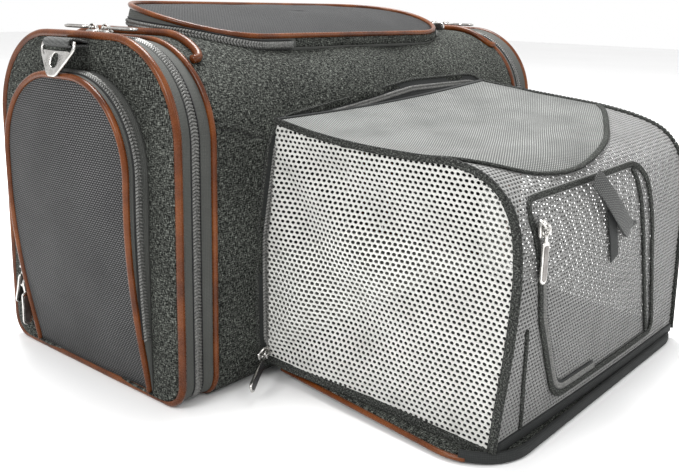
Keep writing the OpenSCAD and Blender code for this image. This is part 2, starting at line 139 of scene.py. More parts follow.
class Look:
    """A procedural material: short calls that add nodes and return their output sockets."""

    def __init__(self, name, rough, **sockets):
        self.material = bpy.data.materials.new(name)
        self.material.use_nodes = True
        self.tree = self.material.node_tree
        self.shader = self.tree.nodes["Principled BSDF"]
        self.shader.inputs["Roughness"].default_value = rough
        for key, value in sockets.items():
            self.shader.inputs[key.replace("_", " ")].default_value = value
        self.cloth = self.add("ShaderNodeUVMap", {}, uv_map=UV).outputs["UV"]

    def feed(self, socket, value):
        if isinstance(value, bpy.types.NodeSocket):
            self.tree.links.new(value, socket)
        else:
            socket.default_value = value

    def add(self, kind, values, **settings):
        node = self.tree.nodes.new(kind)
        for key, value in settings.items():
            setattr(node, key, value)
        for key, value in values.items():
            self.feed(node.inputs[key], value)
        return node

    def math(self, operation, a, b=0.0, c=0.0):
        return self.add("ShaderNodeMath", {0: a, 1: b, 2: c}, operation=operation).outputs[0]

    def place(self, across, along, turn=0.0):
        """Cloth coordinates turned by turn degrees and counted in units of across x along mm."""
        turned = self.add("ShaderNodeMapping", {"Vector": self.cloth, "Rotation": (0, 0, math.radians(turn))})
        scaled = {"Vector": turned.outputs[0], "Scale": (1 / across, 1 / along, 1)}
        return self.add("ShaderNodeMapping", scaled).outputs[0]

    def noise(self, across, along, turn=0.0, detail=2.0):
        values = {"Vector": self.place(across, along, turn), "Scale": 1.0, "Detail": detail}
        return self.add("ShaderNodeTexNoise", values).outputs[0]

    def solid_noise(self, size, detail=2.0):
        """Noise in space, in millimetres, for what has no cloth coordinates."""
        where = self.add("ShaderNodeTexCoord", {}).outputs["Object"]
        return self.add("ShaderNodeTexNoise", {"Vector": where, "Scale": 1 / (size * MM),
                                               "Detail": detail}).outputs[0]

    def cell(self, across, along, turn=0.0, brick=True):
        """Offsets (-0.5..0.5) inside each cell of a lattice whose odd rows are shifted by half a cell."""
        parts = self.add("ShaderNodeSeparateXYZ", {0: self.place(across, along, turn)})
        row = self.math("FLOOR", parts.outputs[1])
        shift = self.math("MULTIPLY", self.math("FLOORED_MODULO", row, 2.0), 0.5 if brick else 0.0)
        u = self.math("SUBTRACT", self.math("FRACT", self.math("ADD", parts.outputs[0], shift)), 0.5)
        v = self.math("SUBTRACT", self.math("FRACT", parts.outputs[1]), 0.5)
        return u, v

    def dashes(self, across, along, half_u, half_v, turn=0.0):
        """A soft oval in each cell of a brick lattice: 1 inside, 0 outside."""
        u, v = self.cell(across, along, turn)
        a = self.math("POWER", self.math("DIVIDE", u, half_u), 2.0)
        b = self.math("POWER", self.math("DIVIDE", v, half_v), 2.0)
        return self.fit(self.math("ADD", a, b), 1.3, 0.5)

    def fit(self, value, low, high):
        """1 where value reaches high, 0 where it is at low, smooth between."""
        values = {"Value": value, "From Min": low, "From Max": high}
        return self.add("ShaderNodeMapRange", values, interpolation_type="SMOOTHSTEP").outputs[0]

    def ramp(self, value, stops):
        node = self.add("ShaderNodeValToRGB", {"Fac": value})
        while len(node.color_ramp.elements) < len(stops):
            node.color_ramp.elements.new(0.5)
        for element, (at, color) in zip(node.color_ramp.elements, stops):
            element.position = at
            element.color = (*color, 1)
        return node.outputs[0]

    def mix(self, share, a, b):
        node = self.add("ShaderNodeMix", {"Factor": share}, data_type="RGBA")
        self.feed(node.inputs["A"], a if isinstance(a, bpy.types.NodeSocket) else (*a, 1))
        self.feed(node.inputs["B"], b if isinstance(b, bpy.types.NodeSocket) else (*b, 1))
        return node.outputs["Result"]

    def finish(self, color, height, depth, rough=None):
        """Sets the colour, a bump of depth mm and, if given, a roughness that varies."""
        self.feed(self.shader.inputs["Base Color"], color)
        bump = self.add("ShaderNodeBump", {"Height": height, "Distance": depth * MM, "Strength": 1.0})
        self.feed(self.shader.inputs["Normal"], bump.outputs[0])
        if rough is not None:
            self.feed(self.shader.inputs["Roughness"], rough)
        return self.material


def threads(look, pitch):
    """Plain weave: over and under threads of the given pitch."""
    u, v = look.cell(pitch, pitch, 0, brick=False)
    warp = look.math("COSINE", look.math("MULTIPLY", u, math.pi))
    weft = look.math("COSINE", look.math("MULTIPLY", v, math.pi))
    return look.math("MULTIPLY", warp, weft)


def heather_look(name, dark, mid, light, streak=4.2):
    """Salt and pepper twill: short fibres both ways, a few bright flecks, worn paler patches."""
    look = Look(name, 0.9, Specular_IOR_Level=0.1)
    warp = look.noise(0.7, streak, 4, 3)
    weft = look.noise(streak, 0.7, 4, 3)
    slub = look.noise(1.3, 1.3, 30, 1)
    patch = look.noise(34, 52, 10, 3)
    both = look.math("ADD", look.math("MULTIPLY", warp, 0.38), look.math("MULTIPLY", weft, 0.38))
    both = look.math("ADD", both, look.math("MULTIPLY", slub, 0.24))
    worn = look.math("ADD", both, look.math("MULTIPLY", look.math("SUBTRACT", patch, 0.5), 0.05))
    fleck = tuple(min(c * 2.6, 0.8) for c in light)
    color = look.ramp(worn, [(0.43, dark), (0.49, mid), (0.56, light), (0.64, fleck)])
    height = look.math("ADD", both, look.math("MULTIPLY", threads(look, 0.9), 0.25))
    return look.finish(color, height, 0.8, look.ramp(both, [(0.4, (0.95,) * 3), (0.6, (0.75,) * 3)]))


def leather_look():
    look = Look("saddle_leather", 0.3, Coat_Weight=0.08, Coat_Roughness=0.12, Specular_IOR_Level=0.16)
    grain = look.solid_noise(0.9, 4)
    patch = look.solid_noise(26, 3)
    color = look.ramp(patch, [(0.3, (0.05, 0.0125, 0.003)), (0.52, (0.09, 0.024, 0.005)),
                              (0.74, (0.14, 0.043, 0.01))])
    worn = look.mix(look.fit(grain, 0.62, 0.78), color, (0.19, 0.064, 0.016))
    return look.finish(worn, grain, 0.06, look.ramp(grain, [(0.35, (0.22,) * 3), (0.65, (0.34,) * 3)]))


def tape_look(name, dark, light):
    look = Look(name, 0.78, Sheen_Weight=0.03, Specular_IOR_Level=0.2)
    parts = look.add("ShaderNodeSeparateXYZ", {0: look.place(1.1, 1.5)})
    rib = look.math("ABSOLUTE", look.math("SUBTRACT", look.math("FRACT", parts.outputs[0]), 0.5))
    wale = look.math("ABSOLUTE", look.math("SUBTRACT", look.math("FRACT", parts.outputs[1]), 0.5))
    height = look.math("ADD", rib, look.math("MULTIPLY", wale, 0.8))
    fibre = look.noise(0.7, 0.7, 0, 3)
    patch = look.noise(40, 30, 0, 2)
    tone = look.math("ADD", look.math("MULTIPLY", fibre, 0.6), look.math("MULTIPLY", patch, 0.4))
    color = look.mix(look.fit(height, 0.75, 0.15), look.ramp(tone, [(0.35, dark), (0.65, light)]), dark)
    return look.finish(color, height, 0.25)


def woven_look(name, shade):
    look = Look(name, 0.7, Specular_IOR_Level=0.2)
    dash = look.dashes(2.9, 1.75, 0.42, 0.34)
    patch = look.noise(60, 60, 15, 3)
    fine = look.noise(1.2, 0.5, 0, 2)
    light = look.ramp(look.math("ADD", look.math("MULTIPLY", fine, 0.6), look.math("MULTIPLY", patch, 0.4)),
                      [(0.36, (0.095 * shade,) * 3), (0.62, (0.2 * shade,) * 3)])
    return look.finish(look.mix(dash, (0.008, 0.0085, 0.009), light), dash, 0.6)


def knit_look(name, shade, warm=0.0):
    """Thread of a knitted net whose holes are in its geometry."""
    look = Look(name, 0.7, Sheen_Weight=0.15, Specular_IOR_Level=0.35)
    twist = look.dashes(1.1, 0.7, 0.4, 0.4, 35)
    patch = look.noise(30, 24, 20, 3)
    low = tuple(c * s for c, s in zip((0.72, 0.72, 0.7 - warm), (shade,) * 3))
    high = tuple(c * s for c, s in zip((1.0, 1.0, 0.98 - warm), (shade,) * 3))
    color = look.mix(look.math("MULTIPLY", twist, 0.75), tuple(0.6 * c for c in low),
                     look.ramp(patch, [(0.3, low), (0.62, high)]))
    return look.finish(color, twist, 0.3)


def ribbed_look():
    """Pale mesh knitted in fine diagonal ribs."""
    look = Look("ribbed_roof_mesh", 0.66, Sheen_Weight=0.08, Specular_IOR_Level=0.35)
    dot = look.dashes(3.1, 1.7, 0.47, 0.30, 28)
    patch = look.noise(50, 40, 12, 3)
    light = look.ramp(patch, [(0.34, (0.15, 0.156, 0.147)), (0.62, (0.25, 0.257, 0.244))])
    return look.finish(look.mix(dot, (0.035, 0.037, 0.035), light), dot, 0.7)


def webbing_look():
    look = Look("webbing", 0.75, Sheen_Weight=0.1, Specular_IOR_Level=0.3)
    zig = look.dashes(2.4, 1.3, 0.45, 0.36, 32)
    fine = look.noise(0.8, 0.8, 0, 3)
    light = look.ramp(fine, [(0.35, (0.05, 0.052, 0.05)), (0.65, (0.12, 0.123, 0.118))])
    return look.finish(look.mix(zig, (0.012, 0.0125, 0.012), light), zig, 0.5)


def coil_look(name, dark, light, metal):
    look = Look(name, 0.34, Metallic=metal, Specular_IOR_Level=0.6)
    grain = look.solid_noise(1.3, 2)
    color = look.ramp(grain, [(0.3, dark), (0.7, light)])
    return look.finish(color, grain, 0.08, look.ramp(grain, [(0.3, (0.28,) * 3), (0.7, (0.48,) * 3)]))


def metal_look(name, dark, light, rough, metal=1.0):
    look = Look(name, rough, Metallic=metal)
    cast = look.solid_noise(7, 3)
    scratch = look.solid_noise(0.8, 4)
    color = look.ramp(cast, [(0.3, dark), (0.7, light)])
    shine = look.ramp(scratch, [(0.3, (rough * 0.75,) * 3), (0.7, (rough * 1.35,) * 3)])
    return look.finish(color, scratch, 0.03, shine)


def fleece_look():
    look = Look("fleece", 0.95, Sheen_Weight=0.5, Sheen_Roughness=0.6)
    curl = look.solid_noise(2.6, 5)
    color = look.ramp(curl, [(0.34, (0.3, 0.28, 0.25)), (0.6, (0.62, 0.59, 0.54))])
    return look.finish(color, curl, 2.0)


def floor_look():
    look = Look("floor", 0.6)
    cloud = look.solid_noise(400, 2)
    return look.finish(look.ramp(cloud, [(0.3, (0.86, 0.86, 0.86)), (0.7, (0.88, 0.88, 0.88))]), cloud, 0.01)


LOOKS = {
    "heather": heather_look("heather", (0.003, 0.0033, 0.0029), (0.019, 0.0204, 0.018), (0.08, 0.085, 0.076)),
    "binding": heather_look("heather_binding", (0.008, 0.0085, 0.008), (0.024, 0.025, 0.023),
                            (0.06, 0.063, 0.058), 1.6),
    "piping": leather_look(),
    "tape": tape_look("zipper_tape", (0.05, 0.052, 0.048), (0.085, 0.088, 0.082)),
    "dark_tape": tape_look("dark_tape", (0.012, 0.013, 0.013), (0.03, 0.032, 0.031)),
    "woven": woven_look("woven_end_mesh", 0.6),
    "hatch_woven": woven_look("woven_hatch_mesh", 0.24),
    "white_knit": knit_look("white_knit", 0.95, 0.02),
    "grey_knit": knit_look("grey_knit", 0.36),
    "door_knit": knit_look("door_knit", 0.34),
    "ribbed": ribbed_look(),
    "webbing": webbing_look(),
    "coil": coil_look("coil", (0.06, 0.06, 0.058), (0.2, 0.2, 0.19), 0.35),
    "thread": tape_look("thread", (0.008, 0.008, 0.009), (0.03, 0.03, 0.03)),
    "nickel": metal_look("nickel", (0.4, 0.39, 0.37), (0.58, 0.57, 0.55), 0.22),
    "enamel": metal_look("enamel", (0.012, 0.012, 0.013), (0.03, 0.03, 0.031), 0.3, 0.0),
    "plate": metal_look("plate", (0.11, 0.1, 0.094), (0.2, 0.185, 0.175), 0.36),
    "steel": metal_look("steel", (0.3, 0.3, 0.3), (0.5, 0.5, 0.5), 0.35),
    "lining": tape_look("lining", (0.02, 0.02, 0.021), (0.05, 0.05, 0.052)),
    "fleece": fleece_look(),
}


# ---------- meshes ----------

def unit(v):
    v = np.asarray(v, float)
    return v / np.maximum(np.linalg.norm(v, axis=-1, keepdims=True), 1e-9)


def lengths(path):
    steps = np.linalg.norm(np.diff(path, axis=0), axis=1)
    return np.concatenate([[0], np.cumsum(steps)])


def resample(path, step, closed=False):
    """The same path with points about step mm apart."""
    path = np.vstack([path, path[:1]]) if closed else np.asarray(path, float)
    run = lengths(path)
    count = max(int(round(run[-1] / step)), 2)
    at = np.linspace(0, run[-1], count + 1)
    new = np.stack([np.interp(at, run, path[:, k]) for k in range(path.shape[1])], 1)
    return new[:-1] if closed else new


def curve(points, step):
    """A smooth open path through a few points."""
    p = np.asarray(points, float)
    p = np.vstack([2 * p[0] - p[1], p, 2 * p[-1] - p[-2]])
    t = np.linspace(0, 1, 16, endpoint=False)[:, None]
    out = []
    for a, b, c, d in zip(p, p[1:], p[2:], p[3:]):
        square, cube = 2 * a - 5 * b + 4 * c - d, 3 * b - a - 3 * c + d
        out.append(0.5 * (2 * b + (c - a) * t + square * t**2 + cube * t**3))
    return resample(np.vstack(out + [p[-2:-1]]), step)


def arc(centre, radius, start, end, count):
    a = np.radians(np.linspace(start, end, count, endpoint=False))
    return np.stack([centre[0] + radius * np.cos(a), centre[1] + radius * np.sin(a)], 1)


def straight(p, q, count):
    return np.linspace(p, q, count, endpoint=False)


def upright(half, z0, z1, rt, rb):
    """Upright outline, anticlockwise from the middle of its foot; every such outline has matching points."""
    c, f = half - rt, half - rb
    return np.vstack([
        straight((0, z0), (f, z0), 26), arc((f, z0 + rb), rb, -90, 0, 10),
        straight((half, z0 + rb), (half, z1 - rt), 40), arc((c, z1 - rt), rt, 0, 90, 30),
        straight((c, z1), (-c, z1), 24), arc((-c, z1 - rt), rt, 90, 180, 30),
        straight((-half, z1 - rt), (-half, z0 + rb), 40), arc((-f, z0 + rb), rb, 180, 270, 10),
        straight((-f, z0), (0, z0), 26)])


def body_outline(inset, lift=0.0):
    return upright(HALF_W - inset, inset, HEIGHT + lift - inset, TOP_R - inset, max(FOOT_R - inset, 2))


def rounded(corners, radii, step=3.0):
    """Closed outline through straight sides with round corners."""
    corners = [np.array(c, float) for c in corners]
    out = []
    for i, corner in enumerate(corners):
        to_last = unit(corners[i - 1] - corner)
        to_next = unit(corners[(i + 1) % len(corners)] - corner)
        half = math.acos(float(np.clip(to_last @ to_next, -1, 1))) / 2
        back = radii[i] / math.tan(half)
        centre = corner + unit(to_last + to_next) * radii[i] / math.sin(half)
        p, q = corner + to_last * back, corner + to_next * back
        for k in np.linspace(0, 1, 10):
            out.append(centre + unit((p - centre) * (1 - k) + (q - centre) * k) * radii[i])
    return resample(np.array(out), step, closed=True)


def wobble(points, size, amount, seed=0.0):
    """Smooth random values, one per point."""
    return amount * np.array([noise.noise(Vector(p) / size + Vector((seed, seed, seed))) for p in points])


def grid(P, wrap_u=False, wrap_v=False, flat=None):
    """Quads over P[i, j]; cloth coordinates are flat[i, j] or the distance run each way."""
    nu, nv = P.shape[:2]
    iu, iv = nu - (not wrap_u), nv - (not wrap_v)
    i, j = (k.ravel() for k in np.meshgrid(np.arange(iu), np.arange(iv), indexing="ij"))
    corners = [(i, j), (i + 1, j), (i + 1, j + 1), (i, j + 1)]
    faces = np.stack([(a % nu) * nv + (b % nv) for a, b in corners], 1)
    if flat is None:
        U = lengths(np.vstack([P[:, nv // 2], P[:1, nv // 2]]))
        V = lengths(np.vstack([P[nu // 2], P[nu // 2, :1]]))
        loops = np.stack([np.stack([U[a], V[b]], 1) for a, b in corners], 1)
    else:
        loops = np.stack([flat[a % nu, b % nv] for a, b in corners], 1)
    return P.reshape(-1, 3), faces.tolist(), loops.reshape(-1, 2)


def joined(*meshes):
    verts, faces, loops, base = [], [], [], 0
    for v, f, l in meshes:
        verts.append(v)
        loops.append(l)
        faces += [[k + base for k in face] for face in f]
        base += len(v)
    return np.vstack(verts), faces, np.vstack(loops)


def tangents(path, closed):
    if closed:
        return unit(np.roll(path, -1, 0) - np.roll(path, 1, 0))
    return unit(np.gradient(path, axis=0))


def sweep(path, profile, side, closed=False):
    """A closed profile carried along a path; its first axis points to side, one vector or one per point."""
    t = tangents(path, closed)
    side = np.broadcast_to(np.asarray(side, float), path.shape)
    a = unit(side - (side * t).sum(1, keepdims=True) * t)
    b = np.cross(t, a)
    P = path[:, None] + a[:, None] * profile[None, :, :1] + b[:, None] * profile[None, :, 1:]
    verts, faces, loops = grid(P, wrap_u=closed, wrap_v=True)
    if not closed:
        n, last = len(profile), (len(path) - 1) * len(profile)
        faces += [list(range(n)), [last + k for k in range(n - 1, -1, -1)]]
        loops = np.vstack([loops, profile, profile[::-1]])
    return verts, faces, loops


def circle(radius, count=14):
    return arc((0, 0), radius, 0, 360, count)


def band(width, thick):
    """Profile of a flat strip with round edges."""
    r = thick / 2
    return np.vstack([straight((r - width / 2, -r), (width / 2 - r, -r), 6),
                      arc((width / 2 - r, 0), r, -90, 90, 5),
                      straight((width / 2 - r, r), (r - width / 2, r), 6),
                      arc((r - width / 2, 0), r, 90, 270, 5)])


def tube(path, radius, closed=False, count=14):
    t = tangents(path, closed)
    side = np.cross(t, unit((0.31, 0.17, 0.93)))
    return sweep(path, circle(radius, count), side, closed)


def teeth(path, side, out, reach, rise, closed=False, pitch=2.6):
    """One row of zipper coil: slanted loops that reach from the path towards side and stand up along out."""
    side = np.broadcast_to(np.asarray(side, float), path.shape)
    out = np.broadcast_to(np.asarray(out, float), path.shape)
    both = resample(np.hstack([path, side, out]), pitch, closed)
    p, s, o = both[:, :3], unit(both[:, 3:6]), unit(both[:, 6:])
    t = tangents(p, closed)
    across = np.array([-0.12, 0.3, 0.75, 1.0])
    tall = np.array([0.45, 1.0, 0.85, 0.0]) * rise
    slant = across * 0.55 * pitch
    width = 0.4 * pitch
    cols = [(-width, 0.0), (0.0, 1.0), (width, 0.0)]
    P = np.stack([np.stack([
        p + s * reach * across[k] + t * (slant[k] + shift) + o * (tall[k] * lift)
        for shift, lift in cols], 1) for k in range(4)], 1)
    n = len(p)
    quads = np.array([[k * 3 + c, k * 3 + c + 3, k * 3 + c + 4,
                       k * 3 + c + 1] for k in range(3) for c in range(2)])
    faces = (quads[None] + 12 * np.arange(n)[:, None, None]).reshape(-1, 4)
    loops = np.tile(np.array([(0, 0), (1, 0), (1, 1), (0, 1)], float), (len(faces), 1))
    return P.reshape(-1, 3), faces.tolist(), loops


def plate(outer, inner, thick, bevel):
    """A flat ring of metal between two outlines in its own x, y plane, with rounded rims."""
    middle = inner.mean(0)

    def around(loop):
        angle = np.unwrap(np.arctan2(*(loop - middle).T[::-1]))
        order = np.argsort(angle % (2 * math.pi))
        angle, loop = (angle % (2 * math.pi))[order], loop[order]
        at = np.linspace(0, 2 * math.pi, 72, endpoint=False)
        return np.stack([np.interp(at, angle, loop[:, k], period=2 * math.pi) for k in (0, 1)], 1)

    outer, inner = around(outer), around(inner)
    rim = unit(outer - middle)
    h = thick / 2
    rings = [(outer - rim * bevel, h), (outer, h - bevel), (outer, bevel - h), (outer - rim * bevel, -h),
             (inner + rim * bevel, -h), (inner, bevel - h), (inner, h - bevel), (inner + rim * bevel, h)]
    P = np.stack([np.column_stack([ring, np.full(len(ring), z)]) for ring, z in rings], 1)
    return grid(P, wrap_u=True, wrap_v=True)


def slab(outline, thick, bevel):
    """A closed flat solid over an outline, z from 0 to thick, with rounded rims."""
    middle = outline.mean(0)
    rings = []
    for share, z in ((1, 0), (0, bevel), (0, thick - bevel), (1, thick)):
        inward = unit(middle - outline) * bevel * share
        rings.append(np.column_stack([outline + inward, np.full(len(outline), z)]))
    for shrink in (0.66, 0.33, 0.02):
        rings.append(np.column_stack([middle + (rings[3][:, :2] - middle) * shrink,
                                      np.full(len(outline), thick)]))
    for shrink in (0.02, 0.33, 0.66):
        rings.append(np.column_stack([middle + (rings[0][:, :2] - middle) * shrink, np.zeros(len(outline))]))
    P = np.stack(rings, 1)
    return grid(P, wrap_u=True, wrap_v=True, flat=P[..., :2])


def net(surface, low, high, pitch, hole, keep):
    """Knitted net: a sheet with an oval hole in every cell of a brick lattice, laid on surface(a, b)."""
    pa, pb = pitch
    rows = np.arange(math.floor(low[1] / pb), math.ceil(high[1] / pb) + 1)
    cols = np.arange(math.floor(low[0] / pa) - 1, math.ceil(high[0] / pa) + 1)
    col, row = (k.ravel() for k in np.meshgrid(cols, rows))
    a, b = (col + 0.5 * (row % 2)) * pa, row * pb
    inside = keep(a, b)
    a, b = a[inside], b[inside]
    n = len(a)
    corner = np.array([(-1, -1), (0, -1), (1, -1), (1, 1), (0, 1), (-1, 1)])
    keys = np.stack([np.round(2 * a / pa)[:, None] + corner[:, 0],
                     np.round(2 * b / pb)[:, None] + corner[:, 1]], -1)
    edge, index = np.unique(keys.reshape(-1, 2), axis=0, return_inverse=True)
    index = index.reshape(n, 6)
    turn = np.radians(210 + 30 * np.arange(12))
    inner = np.stack([a[:, None] + hole[0] * np.cos(turn), b[:, None] + hole[1] * np.sin(turn)],
                     -1).reshape(-1, 2)
    flat = np.vstack([edge * (pa / 2, pb / 2), inner])
    first = len(edge) + 12 * np.arange(n)[:, None]
    k = np.arange(6)
    faces = np.stack([index[:, k], index[:, (k + 1) % 6], first + (2 * k + 2) % 12, first + 2 * k + 1,
                      first + 2 * k], -1).reshape(-1, 5)
    return surface(flat[:, 0], flat[:, 1]), faces.tolist(), flat[faces.ravel()]


def piece(name, body, mesh, look, stands_for=(), mirror=1, thick=0.0, squash=False, sharp=None):
    verts, faces, loops = mesh
    data = bpy.data.meshes.new(name)
    data.from_pydata((np.asarray(verts) * (MM * mirror, MM, MM)).tolist(), [], faces)
    layer = data.uv_layers.new(name=UV)
    layer.data.foreach_set("uv", np.asarray(loops, np.float32).ravel())
    b = bmesh.new()
    b.from_mesh(data)
    bmesh.ops.recalc_face_normals(b, faces=b.faces)
    b.to_mesh(data)
    b.free()
    data.polygons.foreach_set("use_smooth", [True] * len(data.polygons))
    if sharp:
        data.set_sharp_from_angle(angle=math.radians(sharp))
    for one in look if isinstance(look, list) else [look]:
        data.materials.append(LOOKS[one])
    o = bpy.data.objects.new(name, data)
    bpy.context.scene.collection.objects.link(o)
    if thick:
        solid = o.modifiers.new("thickness", "SOLIDIFY")
        solid.thickness = thick * MM
        solid.offset = 0
    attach(o, body)
    if stands_for:
        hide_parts(*([stands_for] if isinstance(stands_for, str) else stands_for))
    if squash:
        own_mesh(o)
    elif body in ("tent_front", "tent_door"):
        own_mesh(o)
    return o


def across(x, yz):
    """Points (y, z) set in the plane across the bag at x; x may be one number per point."""
    return np.column_stack([np.broadcast_to(x, len(yz)), yz])


def outward(yz, closed=True):
    """Outward directions of an anticlockwise outline, as vectors in the y, z plane."""
    t = tangents(yz, closed)
    return np.column_stack([np.zeros(len(yz)), t[:, 1], -t[:, 0]])


# ---------- surfaces of the body ----------

def body_top(y):
    a = np.maximum(np.abs(y) - (HALF_W - TOP_R), 0)
    return HEIGHT - TOP_R + np.sqrt(np.maximum(TOP_R**2 - a**2, 0))


def front_y(z):
    high = np.maximum(np.asarray(z, float) - (HEIGHT - TOP_R), 0)
    low = np.maximum(FOOT_R - np.asarray(z, float), 0)
    round_top = TOP_R - np.sqrt(np.maximum(TOP_R**2 - high**2, 0))
    return -HALF_W + round_top + FOOT_R - np.sqrt(np.maximum(FOOT_R**2 - low**2, 0))


def opening(inset=0.0):
    """Outline of the front opening in x, z; its upper left corner is lower than its right one."""
    corners = [(180 - inset, 17 + inset), (176 - inset, 236 - inset), (30, 236 - inset),
               (-166 + inset, 216 - inset), (-181 + inset, 120), (-179 + inset, 17 + inset)]
    return rounded(corners, [20, 44, 200, 26, 90, 18])


def hatch_outline(inset=0.0, step=3.0):
    r = (HATCH_Y1 - HATCH_Y0) / 2
    corners = [(HATCH_X1 - inset, HATCH_Y0 + inset), (HATCH_X1 - inset, HATCH_Y1 - inset),
               (HATCH_X0 + inset, HATCH_Y1 - inset), (HATCH_X0 + inset, HATCH_Y0 + inset)]
    return rounded(corners, [r - inset - 0.5] * 4, step)


def inside(loop, x, y):
    """True for the points within a closed outline."""
    found = np.zeros(len(x), bool)
    for (x0, y0), (x1, y1) in zip(loop, np.roll(loop, -1, 0)):
        crosses = (y0 > y) != (y1 > y)
        slope = (x1 - x0) / (y1 - y0 if abs(y1 - y0) > 1e-9 else 1e-9)
        found ^= crosses & (x < x0 + slope * (y - y0))
    return found


def nearest(loop, points):
    fine = resample(loop, 0.8, closed=True)
    gap = ((points[:, None] - fine[None]) ** 2).sum(-1)
    return fine[gap.argmin(1)]


def body_shell():
    stations = np.linspace(-RING_X + 1, RING_X - 1, 104)
    base = resample(body_outline(0.3), 4.4, closed=True)
    out = outward(base)[:, 1:]
    P = np.empty((len(stations), len(base), 3))
    for i, x in enumerate(stations):
        edge = RING_X - abs(x)
        pull = -1.3 * math.exp(-((edge / 7) ** 2)) + 1.1 * (1 - (x / RING_X) ** 2)
        free = np.clip((base[:, 1] - 8) / 40, 0, 1)
        points = np.column_stack([np.full(len(base), x), base])
        soft = wobble(points, 85, 2.6, 3.1) + wobble(points, 30, 0.9, 9.7)
        soft *= min(edge / 30, 1)
        move = free * (pull + soft)
        P[i, :, 0] = x
        P[i, :, 1:] = base + out * move[:, None]
    verts, faces, loops = grid(P, wrap_v=True)
    loops = loops.reshape(-1, 4, 2)
    faces = np.array(faces)
    middle = verts[faces].mean(1)
    front, roof = opening(5), hatch_outline(4)
    cut_front = (middle[:, 1] < -90) & inside(front, middle[:, 0], middle[:, 2])
    cut_roof = (middle[:, 2] > 240) & inside(roof, middle[:, 0], middle[:, 1])
    for cut, loop, axes in ((cut_front, front, [0, 2]), (cut_roof, roof, [0, 1])):
        kept = ~(cut_front | cut_roof)
        rim = np.intersect1d(faces[cut], faces[kept])
        verts[np.ix_(rim, axes)] = nearest(loop, verts[np.ix_(rim, axes)])
    kept = ~(cut_front | cut_roof)
    mesh = (verts, faces[kept].tolist(), loops[kept].reshape(-1, 2))
    shell = piece("body_shell", "bag", mesh, ["heather", "lining"], "main_shell", thick=2.6)
    shell.modifiers["thickness"].material_offset = 1


def surface_seam(name, xz):
    """A lapped seam on the front face with its line of stitches."""
    path = np.column_stack([xz[:, 0], front_y(xz[:, 1]) - 0.9, xz[:, 1]])
    lap = np.vstack([arc((0, 0), 1.7, -90, 90, 7) * (1.0, 0.55), [(-2.4, 0.3), (-2.4, -0.4)]])
    piece(name, "bag", sweep(path, lap, (0, 0, -1)), "heather")
    stitch(name + "_stitches", "bag", path + (0, -1.1, -2.6), 0.32)


def stitch(name, body, path, radius=0.35, run=3.0, gap=1.1, look="thread", mirror=1, squash=False):
    """Separate stitches along a path."""
    total = lengths(path)
    bits = []
    for start in np.arange(0, total[-1] - run, run + gap):
        at = np.linspace(start, start + run, 4)
        bit = np.stack([np.interp(at, total, path[:, k]) for k in range(3)], 1)
        bits.append(tube(bit, radius, count=5))
    if bits:
        piece(name, body, joined(*bits), look, mirror=mirror, squash=squash)


def seams():
    for name, sign in SIDES:
        xz = curve([(-sign * 219, 216), (-sign * 200, 213), (-sign * 184, 207), (-sign * 172, 204)], 3)
        surface_seam(f"{name}_front_seam", xz)


def zip_row(name, body, path, away, out, tooth, stitch_shadow, mirror=1):
    """One side of a zipper: its coil, tooth (reach, rise), and the stitch line beside it, made dark as
    painted shadow (gap, sink, radius).
    """
    piece(f"{name}_coil", body, teeth(path, away, out, *tooth), "coil", mirror=mirror)
    # Near-black thread tube beside the coil: the tape's stitch line, darkened to paint the shadow along it.
    gap, sink, radius = stitch_shadow
    line = path + np.asarray(away, float) * gap - out * sink
    piece(f"{name}_cord", body, tube(line, radius, count=8), "thread", mirror=mirror)


# ---------- ends ----------

def zip_part(yz, low=8):
    """The open stretch of a closed outline that lies above its foot."""
    keep = np.flatnonzero(yz[:, 1] > low)
    return yz[keep[0]:keep[-1] + 1]


def gusset(name, sign):
    """The two zipped halves of an end's gusset and the pipings beside them."""
    x1 = SPLIT_X + 0.2
    for part, body, x0 in (("inner", "bag", RING_X - 1), ("outer", f"{name}_end", END_X - 1)):
        loops = []
        for share in np.linspace(0, 1, 7):
            x = x0 + (x1 - x0) * share
            lift = END_LIFT * (x - RING_X) / (END_X - RING_X)
            sink = 1.2 + 1.5 * math.sin(share * math.pi / 2) + 0.5 * math.sin(share * math.pi)
            loops.append(across(-x, body_outline(sink, lift)))
        P = np.stack(loops, 1)
        node = f"{name}_gusset_{part}_tape"
        piece(node, body, grid(P, wrap_u=True), "tape", node, sign, thick=0.9)
        rail = zip_part(body_outline(2.3, END_LIFT / 2))
        path = across(-SPLIT_X, rail)
        out = outward(rail, False)
        away = (1, 0, 0) if part == "inner" else (-1, 0, 0)
        zip_row(f"{name}_gusset_{part}", body, path, away, out, (3.3, 1.9), (4.1, 0.1, 0.6), sign)
    inner = upright(HALF_W - 0.2, INNER_R, HEIGHT - 0.2, TOP_R - 0.2, FOOT_R - 0.2)
    path = across(-RING_X, inner)
    path = path + outward(inner) * np.maximum(wobble(path, 60, 0.5), 0)[:, None]
    piece(f"{name}_inner_piping", "bag", tube(resample(path, 3, True), INNER_R, True), "piping",
          "inner_pipings", sign)
    outer = upright(HALF_W - 2.6, PIPING_R, HEIGHT + END_LIFT - 2.6, TOP_R - 2.6, FOOT_R - 2.6)
    path = across(-END_X, outer)
    path = path + outward(outer) * np.maximum(wobble(path, 70, 0.7, 4), 0)[:, None]
    piece(f"{name}_outer_piping", f"{name}_end", tube(resample(path, 3, True), PIPING_R, True, 18),
          "piping",
          f"{name}_outer_piping", sign)


def stand_out(z):
    """How far the window's rim stands in front of the end panel at each height."""
    t = np.clip((np.asarray(z, float) - WINDOW_FOOT) / WINDOW_SLOPE, 0, 1)
    return (WINDOW_X - END_X - 1.5) * np.sin(t * math.pi / 2) + 1.5


